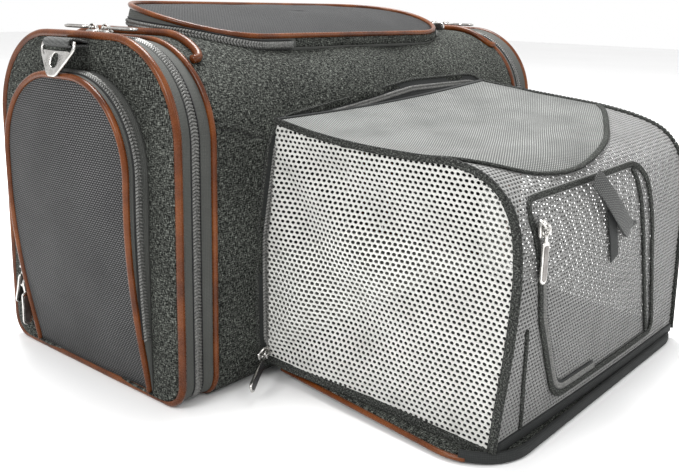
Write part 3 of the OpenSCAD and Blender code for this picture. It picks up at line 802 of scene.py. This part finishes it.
def window_outline(grow=0.0):
    """Open outline of the window from its front foot over its top to its back foot."""
    half, top, r = WINDOW_HALF + grow, WINDOW_TOP + grow, WINDOW_R + grow
    return np.vstack([
        straight((half - 3, WINDOW_FOOT - 3), (half, top - r), 56), arc((half - r, top - r), r, 0, 90, 34),
        straight((half - r, top), (r - half, top), 8), arc((r - half, top - r), r, 90, 180, 34),
        np.linspace((-half, top - r), (3 - half, WINDOW_FOOT - 3), 57)])


def end_panel(name, sign):
    outer = body_outline(4.6, END_LIFT)
    inner = upright(WINDOW_HALF + 1.5, 4.8, WINDOW_TOP + 1.5, WINDOW_R + 1.5, 4)
    room = np.clip(np.linalg.norm(inner - outer, axis=1) / 14, 0, 1) ** 2
    rings = []
    for share in np.linspace(0, 1, 14):
        ring = outer + (inner - outer) * share
        x = 1.2 - END_X - room * (1.5 + 2.6 * max(math.sin(math.pi * share), 0) ** 0.7)
        rings.append(across(x, ring) + np.column_stack([wobble(across(x, ring), 45, 1.2, 2), 0 * ring]))
    P = np.stack(rings, 1)
    piece(f"{name}_end_panel", f"{name}_end", grid(P, wrap_u=True, flat=P[..., 1:]), "heather",
          f"{name}_end_panel", sign, thick=1.6)


def window(name, sign):
    body = f"{name}_window"
    rim = window_outline()
    base = window_outline(3.2)
    depth = stand_out(rim[:, 1])
    rim_path = across(-END_X - depth, rim)
    base_path = across(-END_X - 0.6, base)
    P = np.stack([rim_path + (base_path - rim_path) * k + outward(base, False) * (0.9 * math.sin(math.pi * k))
                  for k in np.linspace(0, 1, 7)], 1)
    piece(f"{name}_window_tape", body, grid(P), "tape", mirror=sign, thick=0.8)
    middle = (rim_path + base_path) / 2 + outward(base, False) * 1.2
    zipped = depth > 9
    out = outward(base, False)[zipped]
    for part, away in (("outer", (-1, 0, 0)), ("inner", (1, 0, 0))):
        zip_row(f"{name}_window_{part}", body, middle[zipped], away, out, (3.1, 1.8), (4.0, 0.4, 0.55), sign)
    piece(f"{name}_window_piping", body, tube(resample(rim_path, 3), 2.6), "piping",
          f"{name}_window_piping", sign)
    z = WINDOW_FOOT - 4.5 + (WINDOW_TOP - WINDOW_FOOT + 3) * np.sin(np.linspace(0, math.pi / 2, 60)) ** 0.9
    z = np.minimum(z, WINDOW_TOP - 0.6)
    high = np.maximum(z - (WINDOW_TOP - WINDOW_R), 0)
    half = WINDOW_HALF - WINDOW_R + np.sqrt(np.maximum(WINDOW_R**2 - high**2, 0)) - 1
    s = np.linspace(-1, 1, 50)
    Y = half[:, None] * s[None]
    Z = np.broadcast_to(z[:, None], Y.shape)
    crown = 4.2 * (1 - s[None] ** 2) ** 0.8 * np.clip((WINDOW_TOP - Z) / 30, 0, 1) ** 0.6 * np.clip(Z / 60,
                                                                                                    0, 1)
    X = -END_X - stand_out(Z) + 0.8 - crown
    P = np.stack([X, Y, Z], -1)
    P[..., 0] += wobble(P.reshape(-1, 3), 60, 1.6, 5).reshape(X.shape) * (1 - np.abs(s[None]) ** 6)
    piece(f"{name}_window_mesh", body, grid(P, flat=P[..., 1:]), "woven",
          f"{name}_window_mesh", sign, thick=0.8)


def ring_and_strap(name, sign):
    """Webbing folded round the bar of a flat triangular ring that leans out from the end."""
    bar_x, bar_z, half, lean = -END_X - 17, HEIGHT + END_LIFT - 8, 20, 18
    strap = curve([(-END_X + 3, bar_z - 1.2), (-END_X - 3, bar_z + 0.6), (bar_x + 5, bar_z + 2.6),
                   (bar_x, bar_z + 2.9),
                   (bar_x - 2.8, bar_z + 1.2), (bar_x - 2.8, bar_z - 1.2), (bar_x, bar_z - 2.9),
                   (bar_x + 6, bar_z - 2.2),
                   (-END_X, bar_z - 2.4)], 1.2)
    path = np.column_stack([strap[:, 0], np.zeros(len(strap)), strap[:, 1]])
    piece(f"{name}_ring_strap", f"{name}_end", sweep(path, band(35, 1.5), (0, 1, 0)), "webbing",
          f"{name}_ring_strap", sign)
    for y in (-14, 14):
        line = path[3:14] + (0, y, 0.8)
        place = "back" if y > 0 else "front"
        stitch(f"{name}_ring_strap_stitches_{place}", f"{name}_end", line, 0.3, 2.4, 1.0, mirror=sign)
    outer = rounded([(-half - 1.2, -6.5), (-5.2, -27), (5.2, -27), (half + 1.2, -6.5)], [1.6, 5, 5, 1.6], 1.2)
    hole = rounded([(-4.6, -8.4), (-4.6, -20.1), (4.6, -20.1), (4.6, -8.4)], [4.5] * 4, 1.0)
    v, f, l = plate(outer, hole, 2.2, 0.6)
    flat = (np.column_stack([v[:, 2], v[:, 0], v[:, 1]]), f, l)
    rim = np.vstack([[(0, -half, 0.8)], [(0, -half - 0.4, -6.5)], [(0, -5.6, -24.6)]])
    arms = [tube(curve(rim * (1, s, 1), 1.2), 1.45) for s in (1, -1)]
    bar = tube(np.column_stack([np.zeros(9), np.linspace(-half - 0.6, half + 0.6, 9), np.zeros(9)]), 1.5)
    v, f, l = joined(flat, bar, *arms)
    v = v @ turn("Y", lean).T + (bar_x, 0, bar_z)
    piece(f"{name}_triangle_ring", f"{name}_ring", (v, f, l), "nickel", f"{name}_triangle_ring",
          sign, sharp=50)


def handle(name, sign):
    """Rolled leather loop that lies along the top of the inner piping."""
    half, rise, radius = 92, 4.0, 3.2
    a = np.radians(np.linspace(0, 180, 90))
    y = -half * np.sign(np.cos(a)) * np.abs(np.cos(a)) ** 0.35
    x = 4.4 - RING_X + 12 * np.sin(a) ** 0.35
    soft = wobble(np.column_stack([y * 0, y, y * 0]), 50, 0.8)
    path = resample(np.column_stack([x, y, body_top(y) + rise + soft]), 2.2)
    for _ in range(3):
        path[1:-1] = (path[:-2] + 2 * path[1:-1] + path[2:]) / 4
    piece(f"{name}_handle", f"{name}_handle", tube(path, radius, count=18), "piping",
          f"{name}_handle", sign)


# ---------- roof hatch ----------

# The stretch of the hatch front, in x, that is sewn on and has no zipper
HINGE_X0, HINGE_X1 = -104, 148


def hatch_z(y):
    return HEIGHT + 24 * np.sin(math.pi / 2 * np.clip((y - HATCH_Y0) / (HATCH_Y1 - HATCH_Y0), 0, 1)) + 1.2


def hatch():
    outline = hatch_outline(0.6)
    low = np.column_stack([outline, body_top(outline[:, 1]) + 0.4])
    high = np.column_stack([outline, hatch_z(outline[:, 1])])
    t = tangents(outline, True)
    out = np.column_stack([t[:, 1], -t[:, 0], np.zeros(len(t))])
    if inside(outline, *(outline[:1] + 2 * out[:1, :2]).T)[0]:
        out = -out
    fold = 0.24

    def wall(shares):
        bulges = [out * (2.2 * math.sin(math.pi * min(0.1 + k, 1))) for k in shares]
        return np.stack([low + (high - low) * k + bulge for k, bulge in zip(shares, bulges)], 1)

    piece("hatch_base_tape", "bag", grid(wall(np.linspace(0, fold, 4)), wrap_u=True), "tape",
          "hatch_base", thick=0.9)
    P = wall(np.linspace(fold, 1, 8))
    run = lengths(outline)
    flat = np.stack(np.broadcast_arrays(run[:, None], P[..., 2]), -1).copy()
    v, f, l = grid(P, wrap_u=True, flat=flat)
    skirt = piece("hatch_skirt", "hatch", (v, f, l), ["tape", "heather"], "hatch_skirt", thick=0.9)
    for polygon in skirt.data.polygons:
        c = polygon.center / MM
        if c.y < HATCH_Y0 + 30 and HINGE_X0 + 3 < c.x < HINGE_X1 - 2:
            polygon.material_index = 1
    sewn = (outline[:, 1] < HATCH_Y0 + 12) & (outline[:, 0] > HINGE_X0) & (outline[:, 0] < HINGE_X1)
    zipped = np.flatnonzero(~sewn)
    jump = np.flatnonzero(np.diff(zipped) > 1)
    order = np.concatenate([zipped[jump[0] + 1:], zipped[:jump[0] + 1]]) if len(jump) else zipped
    path = (low + (high - low) * 0.42 + out * 3.0)[order]
    up = unit((high - low)[order])
    for part, away, body in (("upper", up, "hatch"), ("lower", -up, "bag")):
        zip_row(f"hatch_{part}", body, path, away, out[order], (2.9, 1.7), (3.8, 0.6, 0.55))
    ring = high + (0, 0, 0.4)
    piece("hatch_piping", "hatch", tube(resample(ring, 3, True), 2.3, True), "piping",
          "hatch_piping")
    middle = outline.mean(0)
    shares = np.concatenate([np.linspace(1, 0.1, 22), [0.01]])
    rings = []
    for share in shares:
        xy = middle + (outline - middle) * (share * 0.985)
        crown = 3.2 * (1 - share**2.2)
        z = hatch_z(xy[:, 1]) - 0.8 + crown
        xyz = np.column_stack([xy, z])
        rings.append(xyz + np.column_stack([0 * xy, wobble(xyz, 55, 1.5, 8) * (1 - share**4)]))
    P = np.stack(rings, 1)
    piece("hatch_mesh", "hatch", grid(P, wrap_u=True, flat=P[..., :2]), "hatch_woven",
          "hatch_mesh", thick=0.8)


# ---------- front frame and tent ----------

def front_frame():
    outline = opening(5.2)
    path = np.column_stack([outline[:, 0], front_y(outline[:, 1]) - 1.2, outline[:, 1]])
    t = tangents(path, True)
    slope = np.column_stack([np.zeros(len(path)), -np.ones(len(path)),
                             np.clip((path[:, 2] - 196) / 76, 0, 1)])
    side = np.cross(t, unit(slope))
    piece("front_frame_tape", "bag", sweep(path, band(11, 1.5), side, True), "dark_tape",
          "front_frame")
    middle = np.array([0, 0, 120])
    inward = np.where(((middle - path) * side).sum(1, keepdims=True) > 0, side, -side)
    coil_path = path + inward * 3.6 + unit(slope) * 0.9
    for part, away in (("inner", inward), ("outer", -inward)):
        piece(f"front_frame_{part}_coil", "bag", teeth(coil_path, away, unit(slope), 2.6, 2.0, True),
              "coil")
    edge = path - inward * 5.2 + unit(slope) * 0.5
    piece("front_frame_binding", "bag", tube(resample(edge, 3, True), 1.5, True, 10), "binding")


# Side profiles (y, z) of the tent's left and right top edges, from the bag to the ground
LEFT_EDGE = [(-117, 215), (-160, 208), (-205, 204), (-250, 203), (-286, 203), (-313, 194), (-331, 174),
             (-338, 140),
             (-337, 90), (-333, 45), (-330, 10)]
RIGHT_EDGE = [(-117, 228), (-168, 222), (-212, 218), (-254, 214), (-292, 207), (-317, 196), (-332, 174),
              (-337, 140),
              (-337, 90), (-337, 45), (-337, 10)]
EDGE_X = ((-159, -155, -162), (150, 148, 158))
STRIP_END = 236.0


def edge_curve(points, xs):
    """One top edge of the tent in space, resampled so that equal steps are equal lengths."""
    yz = curve(points, 1.0)
    run = lengths(yz) / lengths(yz)[-1]
    share = np.linspace(0, 1, 400)
    yz = np.stack([np.interp(share, run, yz[:, k]) for k in (0, 1)], 1)
    return np.column_stack([np.interp(share, (0, 0.5, 1), xs), yz])


LEFT = edge_curve(LEFT_EDGE, EDGE_X[0])
RIGHT = edge_curve(RIGHT_EDGE, EDGE_X[1])
SKIN_L = lengths(LEFT)[-1]


def along_edge(edge, b):
    run = lengths(edge)
    run = run / run[-1] * SKIN_L
    return np.stack([np.interp(b, run, edge[:, k]) for k in range(3)], -1)


def skin(a, b):
    """Roof and front of the tent: a is across (x), b the distance from the bag over the roof and down."""
    a, b = np.broadcast_arrays(np.asarray(a, float), np.asarray(b, float))
    left, right = along_edge(LEFT, b), along_edge(RIGHT, b)
    u = np.clip((a - left[..., 0]) / (right[..., 0] - left[..., 0]), -0.05, 1.05)
    P = left + (right - left) * u[..., None]
    P[..., 0] = a
    swell = np.sin(math.pi * np.clip(u, 0, 1))
    roof = np.clip((STRIP_END - 20 - b) / 60, 0, 1)
    P[..., 2] -= swell * roof * 3.5
    P[..., 1] -= swell * (1 - roof) * 2.0
    return P


def within_skin(a, b):
    """True a little inside the tent's left and right edges."""
    return (a > along_edge(LEFT, b)[..., 0] + 2.2) & (a < along_edge(RIGHT, b)[..., 0] - 2.2)


def b_at(z):
    """Distance along the skin at which its front stands at height z."""
    zs = (LEFT[:, 2] + RIGHT[:, 2]) / 2
    run = lengths(LEFT)
    start = 150
    return np.interp(-np.asarray(z, float), -zs[start:], run[start:])


# Pitch and half-axes of the holes in the tent's grey net, across and down the skin
WALL_PITCH = (3.9, 3.1)
WALL_HOLE = (1.42, 1.08)
FLAP = [(-157, 152), (-141, 176), (-117, 196), (-84, 206), (-36, 207), (31, 192), (92, 166), (130, 147),
        (147, 134)]


def flap_edge():
    return curve(FLAP, 2.0)


def roof():
    edge = flap_edge()
    xs = np.linspace(-156, 147, 90)
    reach = np.interp(xs, edge[:, 0], edge[:, 1])
    k = np.linspace(0, 1, 56)
    A = np.broadcast_to(xs[:, None], (len(xs), len(k)))
    B = reach[:, None] * k[None]
    P = skin(A, B)
    soft = wobble(P.reshape(-1, 3), 48, 2.0, 6).reshape(A.shape)
    P[..., 2] += 0.8 + soft * np.sin(math.pi * np.clip(k, 0, 1))[None]
    piece("roof_flap", "bag", grid(P, flat=np.stack([A, B], -1)), "ribbed", "tent_roof",
          thick=0.8, squash=True)
    wall_b = b_at(WALL_TOP)

    def keep(a, b):
        free = b > np.interp(a, edge[:, 0], edge[:, 1]) - 1
        return free & (b < wall_b) & within_skin(a, b)

    strip = net(skin, (-160, 100), (150, 300), WALL_PITCH, WALL_HOLE, keep)
    piece("roof_strip", "bag", strip, "grey_knit", thick=0.7, squash=True)
    rim = skin(edge[:, 0], edge[:, 1]) + (0, 0, 1.4)
    piece("roof_flap_binding", "bag", sweep(rim, band(5, 2.6), (0.2, -1, 0)), "binding",
          squash=True)
    back = skin(np.linspace(-158, 149, 60), np.full(60, 3.0)) + (0, 0, 1.0)
    piece("roof_back_binding", "bag", sweep(back, band(6, 2.4), (0, 1, 0)), "dark_tape",
          squash=True)
    top = opening(9)
    top = top[top[:, 1] > 170]
    top = top[np.argsort(top[:, 0])]
    xs = np.linspace(-158, 149, 60)
    z = np.interp(xs, top[:, 0], top[:, 1]) + 4
    frame_edge = np.column_stack([xs, front_y(z) - 0.6, z])
    roof_edge = skin(xs, np.full(60, 3.0)) + (0, 0, 0.6)
    P = np.stack([frame_edge + (roof_edge - frame_edge) * k for k in np.linspace(0, 1, 5)], 1)
    piece("roof_back_strip", "bag", grid(P), "dark_tape", thick=0.8, squash=True)
    for side, line in (("left", LEFT), ("right", RIGHT)):
        run = lengths(line) / lengths(line)[-1] * SKIN_L
        upper, lower = line[run <= wall_b + 0.5], line[run >= wall_b - 0.5]
        for part, path, body, wide in (("roof", upper, "bag", 5.5), ("front", lower, "tent_front", 7)):
            path = resample(path, 4)
            side_way = np.cross(tangents(path, False), (1, 0, 0))
            piece(f"tent_{side}_{part}_binding", body, sweep(path, band(wide, 3.0), side_way), "binding",
                  squash=part == "roof")
            shift = -1.3 if side == "left" else 1.3
            stitch(f"tent_{side}_{part}_stitches", body, path + (shift, 0, 0) + side_way * 2.6, 0.3, 2.6, 1.6,
                   squash=part == "roof")


def side_surface(sign):
    """The side of the tent as a function of the distance from the bag and the height."""
    edge = LEFT if sign > 0 else RIGHT
    edge_a, edge_x, edge_z = -HALF_W + 1 - edge[:, 1], np.abs(edge[:, 0]), edge[:, 2]
    crest = int(np.argmax(edge_a))
    back = ((0, 120, 216), (169, 169, 156)) if sign > 0 else ((0, 120, 228), (170, 168, 150))

    def surface(a, b):
        s = np.clip(a / 212, 0, 1.03)
        top_z = np.interp(a, edge_a[:crest], edge_z[:crest])
        front_x = np.interp(-b, -edge_z[crest - 60:], edge_x[crest - 60:])
        plain = (1 - s) * np.interp(b, *back) + s * front_x
        top_plain = (1 - s) * np.interp(top_z, *back) + s * np.interp(-top_z, -edge_z[crest - 60:],
                                                                      edge_x[crest - 60:])
        lift = np.interp(a, edge_a[:crest], edge_x[:crest]) - top_plain
        x = plain + lift * np.clip(b / top_z, 0, 1) ** 3
        low_turn = np.arctan2(b - 10, a + 8)
        high_turn = np.arctan2(206 - b, a + 8)
        calm = np.sin(math.pi * np.clip(s, 0, 1)) ** 0.8 * np.sin(math.pi * np.clip(b / 205, 0, 1)) ** 0.6
        folds = 5.0 * np.sin(low_turn * 8) * np.exp(-np.hypot(a, b - 10) / 190)
        folds += 5.4 * np.sin(high_turn * 10 + 1) * np.exp(-np.hypot(a, b - 206) / 170)
        x = x - 6.0 * calm + folds * calm
        return np.stack([-sign * x, -HALF_W + 1 - a, b], -1)
    return surface


def tent_sides():
    for name, sign in SIDES:
        line = LEFT if sign > 0 else RIGHT
        a, b = -HALF_W + 1 - line[::6, 1], line[::6, 2]
        middle = np.array([105.0, 105.0])
        edge = np.column_stack([a, b])
        edge = edge + unit(middle - edge) * 2.2
        outline = np.vstack([[(0, 20)], [(0, edge[0, 1])], edge, [(edge[-1, 0], 10)]])

        def keep(a, b, outline=outline):
            return inside(outline, a, b)

        mesh = net(side_surface(sign), (0, 0), (225, 232), (4.5, 3.7), (1.6, 1.2), keep)
        piece(f"tent_{name}_side", "bag", mesh, "white_knit", f"tent_{name}_side", thick=0.7,
              squash=True)
        run = np.linspace(0, 210, 60)
        foot = side_surface(sign)(run, np.interp(run, (0, 210), (18, 8)))
        piece(f"tent_{name}_foot_binding", "bag", sweep(foot, band(7, 2.2), (0, 0, 1)), "binding",
              squash=True)


DOOR = [(-140, 183), (-122, 96), (-84, 24), (104, 24), (56, 183)]
DOOR_R = [12, 70, 26, 8, 26]


def door_outline(grow=0.0):
    loop = rounded(DOOR, DOOR_R, 3)
    t = tangents(loop, True)
    return loop + np.column_stack([t[:, 1], -t[:, 0]]) * grow


def on_wall(x, z, lift=0.0):
    """Points of the front wall at x, z, lifted off it."""
    P = skin(x, b_at(z))
    P[..., 1] -= lift
    return P


def tent_front():
    door = door_outline()
    wall_b, foot_z = b_at(WALL_TOP), 9.0

    def keep_wall(a, b):
        z = skin(a, b)[..., 2]
        return (b >= wall_b) & (z > foot_z) & within_skin(a, b) & ~inside(door_outline(-1.2), a, z)

    def keep_door(a, b):
        return (b >= wall_b) & inside(door_outline(1.2), a, skin(a, b)[..., 2])

    def behind(a, b):
        return skin(a, b) + (0, 0.9, 0)

    mesh = net(skin, (-166, wall_b - 4), (162, SKIN_L), WALL_PITCH, WALL_HOLE, keep_wall)
    piece("front_wall", "tent_front", mesh, "grey_knit", "tent_front_wall", thick=0.7)
    mesh = net(behind, (-150, wall_b - 4), (110, SKIN_L), (3.8, 3.0), (1.34, 0.98), keep_door)
    piece("door_mesh", "tent_door", mesh, "door_knit", "tent_door", thick=0.6)
    path = on_wall(door[:, 0], door[:, 1], 1.4)
    piece("door_frame_binding", "tent_front", sweep(path, band(5, 2.2),
                                                    np.cross(tangents(path, True), (0, 1, 0)), True),
          "binding")
    left = door_outline(-5.5)
    left = left[(left[:, 0] < -20) & (left[:, 1] < 172)]
    zip_path = on_wall(left[:, 0], left[:, 1], 1.0)
    side = np.cross(tangents(zip_path, False), (0, 1, 0))
    piece("door_zip_tape", "tent_front", sweep(zip_path, band(9, 1.2), side), "dark_tape")
    for part, away in (("inner", side), ("outer", -side)):
        piece(f"door_zip_{part}_coil", "tent_front", teeth(zip_path + (0, -0.7, 0), away, (0, -1, 0), 2.4,
                                                           1.5),
              "coil")
    fold = curve([(38, 180), (52, 130), (74, 70), (90, 27)], 3)
    line = on_wall(fold[:, 0], fold[:, 1], 1.0)
    piece("door_fold_binding", "tent_door", sweep(line, band(5, 2),
                                                  np.cross(tangents(line, False), (0, 1, 0))),
          "binding")
    fold = curve([(-139, 94), (-134, 60), (-129, 30), (-127, 11)], 3)
    line = on_wall(fold[:, 0], fold[:, 1], 1.0)
    piece("wall_fold_binding", "tent_front", sweep(line, band(4, 1.8),
                                                   np.cross(tangents(line, False), (0, 1, 0))),
          "binding")
    foot = on_wall(np.linspace(-158, 154, 60), np.full(60, 11.0), 1.2)
    piece("wall_foot_binding", "tent_front", sweep(foot, band(8, 2.6), (0, 0, 1)), "dark_tape")
    door_strap()


def door_strap():
    """Webbing loop sewn at the door's top, and the darker strap that hangs under it."""
    wall_y = on_wall(np.array([-20.0]), np.array([150.0]))[0, 1]
    out = np.array([(-54, 0.5, 187), (-42, 4.5, 176), (-24, 6.5, 160), (0, 5.5, 143), (12, 4.0, 137)])
    loop = np.vstack([out, [(17, 2.2, 136)], [(12, 1.0, 139), (-2, 0.6, 148), (-26, 0.5, 166),
                                              (-46, 0.4, 183)]])
    path = curve([(x, wall_y - 1.6 - y, z) for x, y, z in loop], 1.5)
    piece("door_strap", "tent_door", sweep(path, band(15, 1.3), (0.55, 0, 0.62)), "webbing",
          "tent_door_strap")
    tail = curve([(-22, wall_y - 2.4, 160), (-14, wall_y - 2.9, 138), (-7, wall_y - 2.8, 116)], 2)
    piece("door_strap_tail", "tent_door", sweep(tail, band(14, 1.2), (1, 0, 0)), "dark_tape")


def on_panel(x, v, w):
    """From across, out and up on the fold-down panel to the bag's frame."""
    c, s = math.cos(PANEL_DIP), math.sin(PANEL_DIP)
    return np.stack([x, HINGE_Y - v * c + w * s, HINGE_Z - v * s + w * c], -1)


def panel_outline(inset=0.0):
    root, tip, out = 164 - inset, 182 - inset, PANEL_L - 1 - inset
    return rounded([(-root, 2), (root, 2), (tip, out), (-tip, out)], [4, 4, 46 - inset, 46 - inset], 4)


def front_panel():
    """Fold-down panel: padded board, piping on its sides, a dark cuff round its free edge, a dark floor."""
    v, f, l = slab(panel_outline(2.6), BOARD_T, 1.6)
    sag = wobble(v, 70, 0.5, 12)
    v = on_panel(v[:, 0], v[:, 1], v[:, 2] - BOARD_T + np.maximum(sag, 0) * (v[:, 2] > 2))
    piece("panel_board", "front_panel", (v, f, l), "heather", "front_panel")
    mat = rounded([(-152, 6), (152, 6), (152, PANEL_L - 14), (-152, PANEL_L - 14)], [6, 6, 16, 16], 4)
    v, f, l = slab(mat, 1.2, 0.5)
    piece("tent_floor_mat", "front_panel", (on_panel(v[:, 0], v[:, 1], v[:, 2] + 0.6), f, l), "lining")
    edge = panel_outline(1.6)
    edge = edge[edge[:, 1] > 8]
    start = np.argmax(np.linalg.norm(edge - np.roll(edge, 1, 0), axis=1))
    edge = np.roll(edge, -start, axis=0)
    sides = [edge[(edge[:, 1] < PANEL_L - 27) & (edge[:, 0] * s > 0)] for s in (1, -1)]
    rims = [on_panel(k[:, 0], k[:, 1], np.full(len(k), -BOARD_T / 2)) for k in sides]
    piece("panel_piping", "front_panel", joined(*[tube(resample(k, 3), 2.0) for k in rims]), "piping",
          "front_panel_piping")
    front = edge[edge[:, 1] > PANEL_L - 34]
    cuff = on_panel(front[:, 0] * 0.996, front[:, 1] - 1.2, np.full(len(front), -0.2))
    piece("panel_front_cuff", "front_panel", sweep(resample(cuff, 4), band(8.6, 4.8), (0, 0, 1)),
          "dark_tape")
    hinge = on_panel(np.linspace(-163, 163, 70), np.full(70, 0.5), np.full(70, -1.0))
    piece("panel_hinge_tape", "bag", sweep(hinge, band(9, 1.6), (0, 1, 0.1)), "dark_tape")


# ---------- inside ----------

def fleece():
    low, high = mm_box("fleece_pad")
    x, y = high[0] - 1, high[1] - 1
    outline = rounded([(x, -y), (x, y), (-x, y), (-x, -y)], [24] * 4, 6)
    middle = outline.mean(0)
    t = (high[2] - low[2]) / 2
    rings = []
    for share, side in [(s, -1) for s in np.linspace(0.02, 1, 14)] + [(s, 1) for s in np.linspace(1, 0.02,
                                                                                                  14)][1:]:
        xy = middle + (outline - middle) * share
        crown = t * (1 - share**5) ** 0.5
        quilt = 0.8 + 0.8 * np.cos(xy[:, 0] / 26) * np.cos(xy[:, 1] / 26)
        sink = quilt * (1 - share**3) if side > 0 else 0
        z = np.full(len(xy), (low[2] + high[2]) / 2 + side * crown) - sink
        rings.append(np.column_stack([xy, z]))
    P = np.stack(rings, 1)
    pad = piece("fleece_cushion", "bag", grid(P, wrap_u=True, flat=P[..., :2]), "fleece",
                "fleece_pad")


def carried_over():
    """CAD nodes that keep their own shape and get a finished material."""
    for node, look in (("base_board", "lining"), ("spring_wires", "steel")):
        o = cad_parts[node]
        o.data.materials.clear()
        o.data.materials.append(LOOKS[look])
        if UV not in o.data.uv_layers:
            layer = o.data.uv_layers.new(name=UV)
            flat = [tuple(o.data.vertices[k.vertex_index].co.xy / MM) for k in o.data.loops]
            layer.data.foreach_set("uv", np.array(flat, np.float32).ravel())


# ---------- sliders and pulls ----------

PIN_Z = 4.6


def slider_mesh():
    """Slider that travels along x: heart-shaped plates and a bridge that holds the pull's pin."""
    plan = rounded([(6.5, -3.2), (6.5, 3.2), (-2, 4.6), (-6.5, 3.0), (-6.5, -3.0), (-2, -4.6)],
                   [2, 2, 2, 2, 2, 2], 0.9)
    body = slab(plan, 2.6, 0.7)
    bridge = curve([(-5.2, 0, 2.2), (-4.2, 0, 5.0), (-1.8, 0, 6.9), (1.8, 0, 6.9), (4.0, 0, 5.0),
                    (4.8, 0, 2.2)], 0.7)
    arch = sweep(bridge, band(3.0, 1.1), (0, 1, 0))
    pin = tube(np.column_stack([np.zeros(5), np.linspace(-3.8, 3.8, 5), np.full(5, PIN_Z)]), 1.0, count=12)
    return joined(body, arch, pin)


def pull_meshes(length=38):
    """Pull towards +x: an eye on the pin, a neck and a long tab with a set-in plate."""
    eye = plate(circle(3.1, 40), circle(1.25, 30), 1.7, 0.4)
    neck = slab(rounded([(2.2, -1.7), (9, -1.7), (9, 1.7), (2.2, 1.7)], [0.8] * 4, 0.8), 1.7, 0.4)
    rim = rounded([(8, -4), (length - 0.2, -4), (length - 0.2, 4), (8, 4)], [2.2, 3.8, 3.8, 2.2], 0.9)
    tab = slab(rim, 2.0, 0.6)
    inset = rounded([(11, -2.7), (length - 2.2, -2.7), (length - 2.2, 2.7), (11, 2.7)],
                    [1.2, 2.6, 2.6, 1.2], 0.8)
    label = [slab(inset, 0.5, 0.2) for _ in range(2)]
    down = {"eye": (0, 0, 0), "neck": (0, 0, -0.85), "tab": (0, 0, -1.0)}
    metal = joined(*[(m[0] + down[k], m[1], m[2]) for k, m in (("eye", eye), ("neck", neck), ("tab", tab))])
    faces = joined((label[0][0] + (0, 0, 0.85), *label[0][1:]), (label[1][0] - (0, 0, 1.35), *label[1][1:]))
    return metal, faces


def turn(axis, degrees):
    return np.array(Matrix.Rotation(math.radians(degrees), 3, axis))


def hardware(slider, pull, seat, spin, sign=1, tilt=0.0, insert="plate", length=38):
    """A slider at its seat and the pull on its pin."""
    seat = np.array(seat, float)

    def placed(mesh, tilted):
        v = mesh[0]
        if tilted:
            v = v @ turn("Y", -tilt).T + (0, 0, PIN_Z)
        return (v @ spin.T + seat, mesh[1], mesh[2])

    piece(slider + "_metal", slider, placed(slider_mesh(), False), "nickel", slider, sign, sharp=40)
    metal, faces = pull_meshes(length)
    piece(pull + "_metal", pull, placed(metal, True), "nickel", pull, sign, sharp=40)
    piece(pull + "_insert", pull, placed(faces, True), insert, mirror=sign, sharp=40)


def all_hardware():
    x, y, z = "X", "Y", "Z"
    gusset_z = HEIGHT + END_LIFT / 2 + 0.5
    zip_x, zip_y = -END_X - 10.5, WINDOW_HALF - 2.4
    for name, sign in SIDES:
        hardware(f"{name}_gusset_slider_rear", f"{name}_gusset_pull_rear", (-SPLIT_X, 3, gusset_z),
                 turn(z, 90), sign)
        hardware(f"{name}_gusset_slider_front", f"{name}_gusset_pull_front", (-SPLIT_X, -14, gusset_z),
                 turn(z, -90), sign)
        window_spin = turn(z, 180) @ turn(x, 90) @ turn(z, -90)
        hardware(f"{name}_window_slider_upper", f"{name}_window_pull_upper", (zip_x, zip_y, 74),
                 window_spin, sign, 18)
        hardware(f"{name}_window_slider_lower", f"{name}_window_pull_lower", (zip_x, zip_y, 57),
                 window_spin, sign)
    middle = (HATCH_Y0 + HATCH_Y1) / 2
    rear = turn(y, 90) @ turn(z, 90)
    hardware("hatch_slider_rear", "hatch_pull_rear", (HATCH_X1 + 0.4, middle + 8.5, HEIGHT + 6), rear)
    hardware("hatch_slider_front", "hatch_pull_front", (HATCH_X1 + 0.4, middle - 8.5, HEIGHT + 6),
             turn(x, 180) @ rear)
    front = turn(x, 90) @ turn(z, -160)
    hardware("front_slider", "front_pull", (-175, -HALF_W - 2.2, 25), front, tilt=27, insert="enamel",
             length=43)
    low, high = mm_box("tent_slider")
    seat = ((low[0] + high[0]) / 2, high[1], (low[2] + high[2]) / 2)
    hardware("tent_slider", "tent_pull", seat, turn(x, 90) @ turn(z, -90))


# ---------- the scene ----------

set_camera()
set_light()
floor_mesh = bpy.data.meshes.new("floor")
floor_mesh.from_pydata([(-6, -6, 0), (6, -6, 0), (6, 6, 0), (-6, 6, 0)], [], [(0, 1, 2, 3)])
floor_mesh.materials.append(floor_look())
floor = bpy.data.objects.new("floor", floor_mesh)
bpy.context.scene.collection.objects.link(floor)

body_shell()
seams()
for side_name, side_sign in SIDES:
    gusset(side_name, side_sign)
    end_panel(side_name, side_sign)
    window(side_name, side_sign)
    ring_and_strap(side_name, side_sign)
    handle(side_name, side_sign)
hatch()
front_frame()
roof()
tent_sides()
tent_front()
front_panel()
fleece()
carried_over()
all_hardware()
